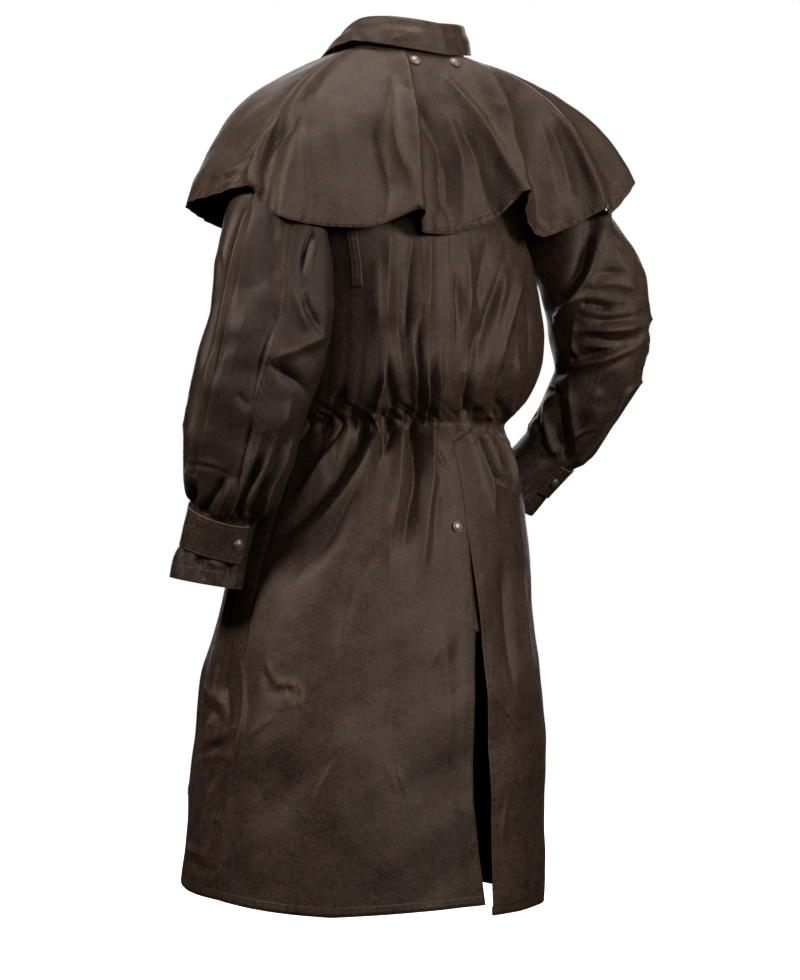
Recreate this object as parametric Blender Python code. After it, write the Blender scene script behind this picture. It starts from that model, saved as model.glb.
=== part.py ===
"""Duster coat with a shoulder cape, filled out as it is worn.

Metres, +Z up. The coat's front faces -Y and its left side is +X.
The origin is in the middle of the neck, level with the tops of the shoulders.
Each piece is a wall of cloth: a grid of points on its outer face, and the same
grid again one wall thickness further in. A turn is a place round the body:
0 at the centre back, 1 at the left side seam, -1 at the right one, 2 at the
centre front.
"""
import math

import bmesh
import bpy
import numpy as np
from mathutils import Vector

# Driving sizes
WALL = 0.002
GAP = 0.0003
HEM = -1.200
WAIST = -0.525
UNDERARM = -0.250
VENT_TOP = -0.672
BACK_COLUMNS = 27
FRONT_COLUMNS = 18
ARMHOLE_ROWS = 6
SLEEVE_COLUMNS = 24
BACK_PLEATS = 9
FRONT_PLEATS = 6
SNAP_RADIUS = 0.0075
SNAP_HEIGHT = 0.0026
SNAP_SIDES = 12

# How the pieces lie on each other, as shares of the seam gap, and what evens them out
SEAM_SHARE = 0.55
ARMHOLE_SHARE = 1.5
NECK_SHARE = 0.4
CALM_TURN = 0.12
METRES_PER_TURN = 0.27
PLEAT_UNEVEN = 0.35
PLEAT_BEAT = 3.5
SHARP_EDGE = 40

# Body rings from the hem up to the underarm, half widths each way from the middle
RING_HEIGHT, RING_LEFT, RING_RIGHT, RING_BACK, RING_FRONT, RING_SQUARE, RING_PLEAT = range(7)
BODY_RINGS = (
    (HEM, 0.318, 0.222, 0.197, 0.268, 2.20, 0.0000),
    (-1.060, 0.305, 0.225, 0.194, 0.260, 2.20, 0.0000),
    (-0.930, 0.288, 0.224, 0.184, 0.243, 2.20, 0.0006),
    (-0.820, 0.270, 0.217, 0.172, 0.214, 2.20, 0.0014),
    (VENT_TOP, 0.230, 0.207, 0.154, 0.176, 2.25, 0.0028),
    (-0.620, 0.209, 0.200, 0.145, 0.158, 2.30, 0.0042),
    (-0.565, 0.190, 0.190, 0.131, 0.140, 2.30, 0.0058),
    (WAIST, 0.178, 0.180, 0.119, 0.124, 2.30, 0.0060),
    (-0.490, 0.183, 0.212, 0.136, 0.138, 2.40, 0.0072),
    (-0.450, 0.184, 0.234, 0.147, 0.145, 2.45, 0.0050),
    (-0.400, 0.184, 0.244, 0.150, 0.146, 2.50, 0.0028),
    (-0.340, 0.184, 0.238, 0.147, 0.142, 2.50, 0.0012),
    (-0.290, 0.187, 0.222, 0.142, 0.138, 2.50, 0.0004),
    (UNDERARM, 0.195, 0.206, 0.138, 0.134, 2.40, 0.0000),
)

# Where the hem lies above or below its level, by turn
HEM_LIFTS = ((-2.0, 0.004), (-1.0, -0.018), (-0.001, -0.019), (0.001, -0.002),
             (0.5, -0.005), (1.0, 0.011), (1.5, 0.020), (2.0, 0.004))
HEM_LIFT_REACH = 0.400

# Large soft folds in the body: from and to as turn and height, half width, height of the ridge
FOLD_TURN, FOLD_FROM, FOLD_TURN_END, FOLD_TO, FOLD_WIDTH, FOLD_DEPTH = range(6)
BODY_FOLDS = (
    (0.50, -0.535, 0.92, -0.700, 0.022, 0.009),
    (0.38, -0.540, 0.80, -0.760, 0.026, -0.007),
    (0.30, -0.560, 0.55, -1.000, 0.040, 0.007),
    (-0.24, -0.540, -0.50, -0.680, 0.020, 0.008),
    (-0.50, -0.600, -0.45, -1.120, 0.035, 0.007),
    (1.15, -0.640, 1.10, -1.150, 0.035, -0.009),
    (1.45, -0.560, 1.50, -1.150, 0.045, 0.010),
    (-1.20, -0.600, -1.15, -1.150, 0.040, 0.008),
    (-1.60, -0.560, -1.55, -1.150, 0.045, -0.009),
    (0.30, -0.290, 0.35, -0.460, 0.020, -0.006),
    (-0.45, -0.300, -0.40, -0.470, 0.022, -0.006),
    (-0.80, -0.300, -0.60, -0.440, 0.022, 0.006),
)

# Armhole edges of the left side from the underarm up to the shoulder
ARMHOLE_BACK = ((0.195, 0.000, UNDERARM), (0.1955, 0.045, -0.228), (0.188, 0.078, -0.190),
                (0.182, 0.088, -0.145), (0.185, 0.068, -0.098), (0.195, 0.030, -0.066),
                (0.200, -0.002, -0.056))
ARMHOLE_FRONT = ((0.195, 0.000, UNDERARM), (0.192, -0.040, -0.228), (0.178, -0.066, -0.190),
                 (0.168, -0.078, -0.145), (0.172, -0.066, -0.100), (0.190, -0.035, -0.068),
                 (0.200, -0.002, -0.056))
CENTRE_BACK = ((0.018, 0.138, UNDERARM), (0.017, 0.1385, -0.210), (0.015, 0.137, -0.165),
               (0.012, 0.132, -0.120), (0.008, 0.123, -0.075), (0.004, 0.112, -0.035),
               (0.0, 0.1005, -0.0003))
CENTRE_FRONT = ((0.0, -0.134, UNDERARM), (0.0, -0.134, -0.220), (0.0, -0.131, -0.190),
                (0.0, -0.126, -0.160), (0.0, -0.118, -0.130), (0.0, -0.106, -0.095),
                (0.0, -0.0885, -0.0603))

# Neck seam and collar by the angle from the centre back: seam place, then the fold line's
# height over the seam, and how far out and down the fall's edge lies from the fold line
NECK_ANGLE, NECK_X, NECK_Y, NECK_Z, STAND_HEIGHT, FALL_OUT, FALL_DOWN = range(7)
NECK_SEAM = (
    (0.0, 0.000, 0.1005, 0.000, 0.044, 0.016, 0.043),
    (30.0, 0.044, 0.0930, 0.002, 0.045, 0.016, 0.042),
    (60.0, 0.076, 0.0640, 0.006, 0.045, 0.017, 0.038),
    (90.0, 0.088, 0.0180, 0.010, 0.040, 0.020, 0.029),
    (115.0, 0.084, -0.0240, 0.003, 0.030, 0.028, 0.024),
    (140.0, 0.066, -0.0600, -0.020, 0.024, 0.036, 0.025),
    (160.0, 0.036, -0.0810, -0.044, 0.020, 0.036, 0.018),
    (180.0, 0.000, -0.0885, -0.060, 0.018, 0.034, 0.016),
)
COLLAR_END = 168.0
COLLAR_COLUMNS = 36
STAND_LEAN = 0.005
STAND_BASE = 0.0008
# Section of the collar's fall from inside the fold line to its edge: own way out, own way
# up, and the share of the fall's reach
FOLD_OUT, FOLD_UP, FOLD_SHARE = range(3)
FALL_SECTION = ((-0.0020, 0.0026, 0.00), (0.0018, 0.0038, 0.00), (0.0052, 0.0012, 0.02),
                (0.0065, -0.0040, 0.12), (0.0060, 0.0000, 0.45), (0.0030, 0.0000, 0.75),
                (0.0000, 0.0000, 1.00))

# Hem of the cape: angle at the neck, then the place of the hem. Flutes rise slowly to a
# ridge and then tuck in below it.
CAPE_ANGLE, CAPE_X, CAPE_Y, CAPE_Z = range(4)
CAPE_HEM = (
    (179.6, 0.001, -0.176, -0.262), (166.0, 0.060, -0.182, -0.262), (154.0, 0.112, -0.192, -0.252),
    (144.0, 0.152, -0.172, -0.248), (134.0, 0.194, -0.172, -0.236), (123.0, 0.240, -0.158, -0.226),
    (111.0, 0.297, -0.104, -0.214), (99.0, 0.310, -0.030, -0.209), (90.0, 0.303, 0.046, -0.202),
    (86.0, 0.290, 0.060, -0.226), (78.0, 0.285, 0.099, -0.247), (68.0, 0.237, 0.110, -0.255),
    (58.0, 0.192, 0.122, -0.257), (49.0, 0.148, 0.134, -0.253), (42.0, 0.101, 0.179, -0.231),
    (38.0, 0.078, 0.154, -0.257), (27.0, 0.052, 0.150, -0.260), (14.0, 0.022, 0.150, -0.258),
    (2.0, -0.012, 0.157, -0.248), (-9.0, -0.048, 0.172, -0.230), (-18.0, -0.080, 0.197, -0.194),
    (-22.0, -0.108, 0.166, -0.228), (-30.0, -0.146, 0.156, -0.253), (-39.0, -0.188, 0.162, -0.240),
    (-48.0, -0.222, 0.176, -0.222), (-55.0, -0.248, 0.184, -0.209), (-62.0, -0.300, 0.146, -0.208),
    (-72.0, -0.352, 0.138, -0.160), (-84.0, -0.352, 0.060, -0.184), (-97.0, -0.334, -0.016, -0.200),
    (-110.0, -0.298, -0.084, -0.212), (-122.0, -0.246, -0.146, -0.230),
    (-133.0, -0.200, -0.166, -0.232), (-143.0, -0.156, -0.170, -0.248),
    (-154.0, -0.112, -0.190, -0.252), (-166.0, -0.060, -0.181, -0.262),
    (-179.6, -0.001, -0.176, -0.262),
)
CAPE_ROWS = 6
CAPE_EDGE_OUT = 0.0010
CAPE_EDGE_UP = 0.0032
CAPE_BEND = 0.55
CAPE_BEND_MIDDLE = 0.25

# Sleeve sections from below the armhole to the cuff: middle, half widths across and through
SLEEVE_X, SLEEVE_Y, SLEEVE_Z, SLEEVE_ACROSS, SLEEVE_THROUGH = range(5)
LEFT_SLEEVE = (
    (0.2570, 0.0460, -0.3000, 0.0830, 0.0540),
    (0.2640, 0.0520, -0.3700, 0.0850, 0.0560),
    (0.2760, 0.0440, -0.4300, 0.0860, 0.0580),
    (0.2890, 0.0320, -0.4900, 0.0850, 0.0590),
    (0.2945, 0.0190, -0.5500, 0.0800, 0.0580),
    (0.2975, 0.0060, -0.6060, 0.0720, 0.0540),
    (0.2985, -0.0070, -0.6350, 0.0600, 0.0490),
    (0.2995, -0.0150, -0.6520, 0.0480, 0.0430),
    (0.3005, -0.0260, -0.6810, 0.0470, 0.0430),
    (0.3020, -0.0340, -0.7090, 0.0475, 0.0430),
    (0.3060, -0.0400, -0.7280, 0.0500, 0.0440),
    (0.3090, -0.0430, -0.7500, 0.0500, 0.0450),
)
RIGHT_SLEEVE = (
    (-0.2960, 0.0960, -0.2880, 0.0780, 0.0580),
    (-0.3080, 0.1040, -0.3400, 0.0790, 0.0600),
    (-0.3150, 0.1020, -0.3900, 0.0760, 0.0600),
    (-0.3200, 0.0900, -0.4400, 0.0690, 0.0580),
    (-0.3150, 0.0690, -0.4850, 0.0600, 0.0550),
    (-0.3080, 0.0480, -0.5180, 0.0580, 0.0530),
    (-0.3000, 0.0300, -0.5430, 0.0520, 0.0490),
    (-0.2930, 0.0160, -0.5600, 0.0460, 0.0430),
    (-0.2830, 0.0000, -0.5800, 0.0450, 0.0430),
    (-0.2730, -0.0160, -0.5990, 0.0455, 0.0430),
    (-0.2660, -0.0270, -0.6120, 0.0470, 0.0440),
    (-0.2590, -0.0380, -0.6250, 0.0475, 0.0450),
)
SLEEVE_ACROSS_WAY = np.array((-0.766, 0.643, 0.0))
SLEEVE_CAP_RINGS = 4
SLEEVE_CAP_BULGE = 0.014
CAP_OUT, CAP_UP = 0.8, 0.6
SLEEVE_CLEAR = 0.010
SLEEVE_SEAMS = (6, 20)
STRAP_RINGS = (7, 9)
STRAP_COLUMNS = (17, 30)
STRAP_SNAP_COLUMN = 18
GATHER_RINGS = {4: 0.0012, 5: 0.0030, 6: 0.0036, 7: 0.0010}
GATHER_EVERY = 3

# Back seam and slit: where the left and the right half end, as a place across, by height
EDGE_HEIGHT, EDGE_LEFT, EDGE_RIGHT = range(3)
BACK_EDGES = ((HEM, 0.002, -0.016), (-1.060, 0.024, -0.015), (-0.930, 0.015, -0.016),
              (-0.820, -0.002, -0.018), (VENT_TOP, -0.002, -0.004), (-0.620, -0.002, 0.014),
              (-0.565, -0.001, 0.012), (WAIST, 0.004, 0.004), (-0.490, 0.012, 0.012),
              (-0.450, 0.018, 0.018), (UNDERARM, 0.018, 0.018))
OVERLAP_LIFT = 0.0028
OVERLAP_COLUMNS = 3

# Places on the panels, as columns of their grids and heights
FLAP_COLUMNS = (3, 3)
FRONT_SNAP_HEIGHTS = (-0.160, -0.290, -0.450, -0.620, -0.820)
GUSSET_REACH = (0.030, -0.032)
GUSSET_COLUMNS = 7
GUSSET_HEIGHTS = (-0.820, VENT_TOP, -0.620)
GUSSET_DEPTH = 2 * WALL + 3 * GAP
VENT_SNAP_COLUMN = -2
LOOP_COLUMNS = (11, 14)
LOOP_BOTTOM = -0.340
LOOP_ROWS = 4
COLLAR_SNAPS = (("left", 34.0), ("right", -2.0))

# Section of a snap's cap: shares of its radius and of its height
SNAP_PROFILE = ((1.0, 0.0), (1.0, 0.35), (0.86, 0.75), (0.50, 1.0))

WAX_BROWN = (0.050, 0.033, 0.024)
COPPER = (0.38, 0.20, 0.12)


def clear_scene():
    for item in list(bpy.data.objects):
        bpy.data.objects.remove(item, do_unlink=True)


def finish(name, color, roughness, metallic):
    material = bpy.data.materials.new(name)
    material.use_nodes = True
    shader = material.node_tree.nodes["Principled BSDF"]
    shader.inputs["Base Color"].default_value = (*color, 1.0)
    shader.inputs["Roughness"].default_value = roughness
    shader.inputs["Metallic"].default_value = metallic
    return material


def unit(vectors):
    """Vectors scaled to length one along the last axis."""
    lengths = np.linalg.norm(vectors, axis=-1, keepdims=True)
    return vectors / np.maximum(lengths, 1e-12)


def read_curve(places, values, at):
    """A smooth curve through the values, read at a place."""
    places = np.asarray(places, dtype=float)
    values = np.asarray(values, dtype=float)
    slopes = np.gradient(values, places, axis=0)
    index = int(np.clip(np.searchsorted(places, at) - 1, 0, len(places) - 2))
    span = places[index + 1] - places[index]
    t = min(max((at - places[index]) / span, 0.0), 1.0)
    start = (1 + 2 * t) * (1 - t) ** 2 * values[index] + t * (1 - t) ** 2 * span * slopes[index]
    end = t * t * (3 - 2 * t) * values[index + 1] - t * t * (1 - t) * span * slopes[index + 1]
    return start + end


def read_table(table, column, at):
    """A column of a table, read straight between the rows of its first column."""
    rows = sorted(table)
    return float(np.interp(at, [row[0] for row in rows], [row[column] for row in rows]))


def grid_normals(grid, closed=False):
    """Outward directions at each point of a grid of rows and columns."""
    if closed:
        padded = np.concatenate((grid[:, -1:], grid, grid[:, :1]), axis=1)
        across = (padded[:, 2:] - padded[:, :-2])
    else:
        across = np.gradient(grid, axis=1)
    along = np.gradient(grid, axis=0)
    return unit(np.cross(unit(across), unit(along)))


def share_normals(grids, normals):
    """Gives points that lie on each other in several grids one common normal."""
    sums = {}
    keys = []
    for grid, normal in zip(grids, normals):
        names = np.round(grid * 20000).astype(int)
        keys.append(names)
        for place, direction in zip(names.reshape(-1, 3), normal.reshape(-1, 3)):
            sums[tuple(place)] = sums.get(tuple(place), 0) + direction
    shared = []
    for names in keys:
        found = [sums[tuple(place)] for place in names.reshape(-1, 3)]
        shared.append(unit(np.array(found)).reshape(names.shape))
    return shared


def draw_in(grid, sides):
    """Moves the named edges of a grid inwards by half a seam gap."""
    moved = grid.copy()
    half = GAP * SEAM_SHARE
    if "first" in sides:
        moved[:, 0] += unit(grid[:, 1] - grid[:, 0]) * half
    if "last" in sides:
        moved[:, -1] += unit(grid[:, -2] - grid[:, -1]) * half
    if "bottom" in sides:
        moved[0] += unit(grid[1] - grid[0]) * half
    if "top" in sides:
        moved[-1] += unit(grid[-2] - grid[-1]) * half
    return moved


def cloth(name, outer, inner, material, closed=False):
    """A closed wall between an outer and an inner grid. Both are cut into triangles alike."""
    rows, columns = outer.shape[:2]
    mesh = bpy.data.meshes.new(name)
    work = bmesh.new()
    faces = []
    layers = [[[work.verts.new(point) for point in row] for row in grid] for grid in (outer, inner)]
    last = columns if closed else columns - 1
    for side, layer in enumerate(layers):
        for i in range(rows - 1):
            for j in range(last):
                k = (j + 1) % columns
                low, high = layer[i], layer[i + 1]
                pair = ((low[j], low[k], high[k]), (low[j], high[k], high[j]))
                faces += [face[::-1] if side else face for face in pair]
    outside, inside = layers
    for i, flip in ((0, True), (rows - 1, False)):
        for j in range(last):
            k = (j + 1) % columns
            faces += rim(outside[i][j], outside[i][k], inside[i][k], inside[i][j], flip)
    if not closed:
        for j, flip in ((0, False), (columns - 1, True)):
            for i in range(rows - 1):
                faces += rim(outside[i][j], outside[i + 1][j], inside[i + 1][j], inside[i][j], flip)
    for face in faces:
        work.faces.new(face)
    bmesh.ops.recalc_face_normals(work, faces=work.faces)
    work.to_mesh(mesh)
    work.free()
    return place(name, mesh, material)


def rim(a, b, c, d, flip):
    """Two triangles that close the edge between the outer and the inner face."""
    pair = ((a, b, c), (a, c, d))
    return [face[::-1] if flip else face for face in pair]


def place(name, mesh, material):
    mesh.materials.append(material)
    mesh.shade_smooth()
    mesh.set_sharp_from_angle(angle=math.radians(SHARP_EDGE))
    item = bpy.data.objects.new(name, mesh)
    bpy.context.scene.collection.objects.link(item)
    return item


def ring_place(turn, height):
    """A point of the plain body ring at a turn and a height, before pleats and folds."""
    heights = [row[RING_HEIGHT] for row in BODY_RINGS]
    ring = read_curve(heights, BODY_RINGS, height)
    angle = turn * math.pi / 2
    power = 2 / ring[RING_SQUARE]
    across = math.copysign(abs(math.sin(angle)) ** power, math.sin(angle))
    deep = math.copysign(abs(math.cos(angle)) ** power, math.cos(angle))
    x = across * (ring[RING_LEFT] if across > 0 else ring[RING_RIGHT])
    y = deep * (ring[RING_BACK] if deep > 0 else ring[RING_FRONT])
    return np.array((x, y, height))


def turn_at(x, height):
    """The turn near the centre back that lies at a place across."""
    heights = [row[RING_HEIGHT] for row in BODY_RINGS]
    ring = read_curve(heights, BODY_RINGS, height)
    half = ring[RING_LEFT] if x > 0 else ring[RING_RIGHT]
    angle = math.asin((abs(x) / half) ** (ring[RING_SQUARE] / 2))
    return math.copysign(angle * 2 / math.pi, x)


def pleat(turn, height):
    """Gathers drawn in at the waist, with their troughs on every third column."""
    heights = [row[RING_HEIGHT] for row in BODY_RINGS]
    depth = float(np.interp(height, heights, [row[RING_PLEAT] for row in BODY_RINGS]))
    count = BACK_PLEATS if abs(turn) <= 1 else FRONT_PLEATS
    uneven = 1 + PLEAT_UNEVEN * math.sin(turn * math.pi * PLEAT_BEAT + 1)
    calm = min(1.0, (abs(turn) / CALM_TURN) ** 2)
    return -depth * uneven * calm * math.cos(2 * math.pi * count * turn)


def fold(turn, height):
    """The large soft folds, each one a ridge or a trough round its own line."""
    rise = 0.0
    for row in BODY_FOLDS:
        start = np.array((row[FOLD_TURN] * METRES_PER_TURN, row[FOLD_FROM]))
        end = np.array((row[FOLD_TURN_END] * METRES_PER_TURN, row[FOLD_TO]))
        here = np.array((turn * METRES_PER_TURN, height))
        share = np.clip(np.dot(here - start, end - start) / np.dot(end - start, end - start), 0, 1)
        distance = np.linalg.norm(here - start - share * (end - start))
        rise += row[FOLD_DEPTH] * math.exp(-(distance / row[FOLD_WIDTH]) ** 2)
    return rise * min(1.0, (abs(turn) / CALM_TURN) ** 2)


def body_place(turn, height):
    """A point on the outer face of the skirt or blouse."""
    point = ring_place(turn, height)
    side = ring_place(turn + 0.01, height) - ring_place(turn - 0.01, height)
    outward = unit(np.array((-side[1], side[0], 0.0)))
    point = point + outward * (pleat(turn, height) + fold(turn, height))
    lift = float(np.interp(turn, [row[0] for row in HEM_LIFTS], [row[1] for row in HEM_LIFTS]))
    point[2] += lift * max(0.0, 1 - (height - HEM) / HEM_LIFT_REACH)
    return point


def neck_place(angle):
    """A point of the neck seam at an angle from the centre back, left side positive."""
    angles = [row[NECK_ANGLE] for row in NECK_SEAM]
    point = read_curve(angles, [row[NECK_X:NECK_Z + 1] for row in NECK_SEAM], abs(angle))
    point[0] = math.copysign(point[0], angle)
    return point


def shoulder_up(side):
    """The direction square to the shoulder seam that both panels share along it."""
    start = neck_place(side * 90.0)
    end = np.array(ARMHOLE_BACK[-1])
    end[0] *= side * side_scale(side)
    run = unit(end - start)
    return unit(np.array((0, 0, 1.0)) - run * run[2])


def side_scale(side):
    """The armholes lie a little further out on the right."""
    ring = BODY_RINGS[-1]
    return 1.0 if side > 0 else ring[RING_RIGHT] / ring[RING_LEFT]


def upper_rows(side, back, columns, edge_turn):
    """Rows from the underarm up to the neck and shoulder, from the centre to the armhole."""
    far = 1.0 if back else 2.0
    centre = np.array(CENTRE_BACK if back else CENTRE_FRONT)
    arm = np.array(ARMHOLE_BACK if back else ARMHOLE_FRONT)
    arm[:, 0] *= side * side_scale(side)
    shoulder = arm[-1]
    neck_columns = round(columns * NECK_SHARE)
    bottom, top = [], []
    for j in range(columns + 1):
        share = j / columns
        turn = edge_turn + (side - edge_turn) * share if back else side * (far - share)
        bottom.append(body_place(turn, UNDERARM))
        if j <= neck_columns:
            swing = 90 * j / neck_columns
            point = neck_place(side * (swing if back else 180 - swing))
            top.append(point - np.array((0, 0, GAP)))
        else:
            along = (j - neck_columns) / (columns - neck_columns)
            start = neck_place(side * 90.0) - np.array((0, 0, GAP))
            top.append(start + (shoulder - start) * along)
    bottom, top = np.array(bottom), np.array(top)
    centre[0], arm[0] = bottom[0], bottom[-1]
    centre[-1], arm[-1] = top[0], top[-1]
    rows = []
    for i in range(1, ARMHOLE_ROWS + 1):
        v = i / ARMHOLE_ROWS
        row = []
        for j in range(columns + 1):
            s = j / columns
            corners = ((1 - s) * (1 - v) * bottom[0] + s * (1 - v) * bottom[-1]
                       + (1 - s) * v * top[0] + s * v * top[-1])
            edges = (1 - v) * bottom[j] + v * top[j] + (1 - s) * centre[i] + s * arm[i]
            row.append(edges - corners)
        rows.append(row)
    return rows


def body_panel(side, back):
    """Grid of one body panel, bottom to top, its columns in order of falling turn."""
    columns = BACK_COLUMNS if back else FRONT_COLUMNS
    edge_column = EDGE_LEFT if side > 0 else EDGE_RIGHT
    rows = []
    for ring in BODY_RINGS:
        height = ring[RING_HEIGHT]
        edge = turn_at(read_table(BACK_EDGES, edge_column, height), height) if back else 2 * side
        row = [body_place(edge + (side - edge) * j / columns, height) for j in range(columns + 1)]
        rows.append(row)
    top_edge = turn_at(read_table(BACK_EDGES, edge_column, UNDERARM), UNDERARM) if back else 0
    rows += upper_rows(side, back, columns, top_edge)
    grid = np.array(rows)
    from_centre = (side < 0) == back
    return grid if from_centre else grid[:, ::-1]


def lift_overlap(grid, normals):
    """The left half stands proud of the right one where it laps over it."""
    lifted = grid.copy()
    for i, ring in enumerate(BODY_RINGS):
        if ring[RING_HEIGHT] > WAIST:
            continue
        for step in range(OVERLAP_COLUMNS + 1):
            share = 1.0 if step < OVERLAP_COLUMNS else 0.5
            lifted[i, -1 - step] += normals[i, -1 - step] * OVERLAP_LIFT * share
    return lifted


def make_body(material):
    """The four panels. Gives back their grids and outward directions for what lies on them."""
    names = ("back_left", "back_right", "front_right", "front_left")
    grids = [body_panel(1, True), body_panel(-1, True), body_panel(-1, False), body_panel(1, False)]
    normals = share_normals(grids, [grid_normals(grid) for grid in grids])
    for grid, normal, name in zip(grids, normals, names):
        side = 1 if name.endswith("left") else -1
        beyond_neck = abs(grid[-1, :, 0]) > abs(neck_place(90.0)[0]) - GAP
        normal[-1, beyond_neck] = shoulder_up(side)
    grids[0] = lift_overlap(grids[0], normals[0])
    for name, grid, normal in zip(names, grids, normals):
        outer = draw_in(grid, ("first", "last", "top"))
        cloth(name, outer, outer - normal * WALL, material)
    return dict(zip(names, zip(grids, normals)))


def layer(name, grid, normals, material, depth=GAP, wall=WALL):
    """A strip that lies on a panel, made from the panel's own points moved out."""
    cloth(name, grid + normals * (depth + wall), grid + normals * depth, material)


def snap(name, point, normal, material):
    """A domed metal snap cap that stands on the cloth at a point."""
    work = bmesh.new()
    rings = []
    for reach, height in SNAP_PROFILE:
        ring = []
        for k in range(SNAP_SIDES):
            angle = 2 * math.pi * k / SNAP_SIDES
            ring.append(work.verts.new((reach * SNAP_RADIUS * math.cos(angle),
                                        reach * SNAP_RADIUS * math.sin(angle),
                                        height * SNAP_HEIGHT)))
        rings.append(ring)
    for low, high in zip(rings, rings[1:]):
        for k in range(SNAP_SIDES):
            m = (k + 1) % SNAP_SIDES
            work.faces.new((low[k], low[m], high[m], high[k]))
    work.faces.new(rings[0][::-1])
    work.faces.new(rings[-1])
    bmesh.ops.recalc_face_normals(work, faces=work.faces)
    mesh = bpy.data.meshes.new(name)
    work.to_mesh(mesh)
    work.free()
    item = place(name, mesh, material)
    item.rotation_euler = Vector(normal).to_track_quat("Z", "Y").to_euler()
    item.location = point
    return item


def seat(grid, normals, i, j, depth):
    """Where a snap stands on a grid: clear of the facets round its point."""
    point, normal = grid[i, j], normals[i, j]
    highest = 0.0
    for near_i in (i - 1, i, i + 1):
        for near_j in (j - 1, j, j + 1):
            away = grid[near_i % len(grid), near_j % len(grid[0])] - point
            length = np.linalg.norm(away)
            share = min(1.0, SNAP_RADIUS / length) if length else 0.0
            highest = max(highest, float(np.dot(away, normal)) * share)
    return point + normal * (depth + highest)


def make_front_closing(body, cloth_finish, metal):
    """The flap over the front edges, and its snaps."""
    right, right_out = body["front_right"]
    left, left_out = body["front_left"]
    first, last = 1, right.shape[0] - 1
    under, over = FLAP_COLUMNS
    grid = np.concatenate((right[first:last, -under:], left[first:last, 1:over]), axis=1)
    normals = np.concatenate((right_out[first:last, -under:], left_out[first:last, 1:over]),
                             axis=1)
    layer("front_flap", grid, normals, cloth_finish)
    for number, height in enumerate(FRONT_SNAP_HEIGHTS, start=1):
        row = int(np.argmin(abs(grid[:, under - 1, 2] - height)))
        point = seat(grid, normals, row, under - 1, 2 * GAP + WALL)
        snap(f"front_snap_{number}", point, normals[row, under - 1], metal)


def make_vent(body, cloth_finish, metal):
    """The inset behind the slit, and the snap that holds the slit's top."""
    reach = np.linspace(*GUSSET_REACH, GUSSET_COLUMNS)
    rows = []
    for height in GUSSET_HEIGHTS:
        row = [body_place(turn_at(x, height), height) for x in reach]
        rows.append(row)
    grid = np.array(rows)
    normals = grid_normals(grid)
    layer("vent_gusset", grid, normals, cloth_finish, depth=-GUSSET_DEPTH)
    left, left_out = body["back_left"]
    row = [ring[RING_HEIGHT] for ring in BODY_RINGS].index(VENT_TOP)
    point = seat(left, left_out, row, VENT_SNAP_COLUMN, GAP)
    snap("vent_snap", point, left_out[row, VENT_SNAP_COLUMN], metal)


def make_cape_strap(body, cloth_finish):
    """A narrow strip on the left back beside the armhole."""
    grid, normals = body["back_left"]
    low = [ring[RING_HEIGHT] for ring in BODY_RINGS].index(LOOP_BOTTOM)
    rows, columns = slice(low, low + LOOP_ROWS), slice(*LOOP_COLUMNS)
    layer("cape_strap", grid[rows, columns], normals[rows, columns], cloth_finish)


def armhole_loop(side):
    """The armhole from the shoulder down its front edge and up its back one, cut finer."""
    loop = np.array(ARMHOLE_FRONT[::-1] + ARMHOLE_BACK[1:])
    loop[:, 0] *= side * side_scale(side)
    places = np.linspace(0, len(loop) - 1, SLEEVE_COLUMNS + 1)[:-1]
    return np.array([[np.interp(at, range(len(loop)), loop[:, axis]) for axis in range(3)]
                     for at in places])


def sleeve_section(path, table, index, side):
    """One oval ring of a sleeve, square to the sleeve's run."""
    run = unit(path[min(index + 1, len(path) - 1)] - path[max(index - 1, 0)])
    across = unit(SLEEVE_ACROSS_WAY - run * np.dot(SLEEVE_ACROSS_WAY, run))
    through = np.cross(run, across)
    outer = unit(np.array((side, 0, 0)) - run * side * run[0])
    back = np.cross(run, outer) * -side
    ring = []
    for j in range(SLEEVE_COLUMNS):
        angle = 2 * math.pi * j / SLEEVE_COLUMNS
        way = outer * math.cos(angle) - back * math.sin(angle)
        gather = GATHER_RINGS.get(index, 0.0) * (1.0 if j % GATHER_EVERY else -1.0)
        wide = table[index][SLEEVE_ACROSS] + gather
        deep = table[index][SLEEVE_THROUGH] + gather
        ring.append(path[index] + across * wide * np.dot(way, across)
                    + through * deep * np.dot(way, through))
    return np.array(ring)


def clear_of_body(point, room):
    """Moves a point of a sleeve out, level, until it has room beside the body."""
    heights = [row[RING_HEIGHT] for row in BODY_RINGS]
    ring = read_curve(heights, BODY_RINGS, min(point[2], UNDERARM))
    half = ring[RING_LEFT] if point[0] > 0 else ring[RING_RIGHT]
    deep = ring[RING_BACK] if point[1] > 0 else ring[RING_FRONT]
    square = ring[RING_SQUARE]
    reach = ((abs(point[0]) / half) ** square + (abs(point[1]) / deep) ** square) ** (1 / square)
    wanted = 1 + room / math.hypot(point[0], point[1])
    if reach >= wanted:
        return point
    return point * np.array((wanted / reach, wanted / reach, 1.0))


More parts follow.
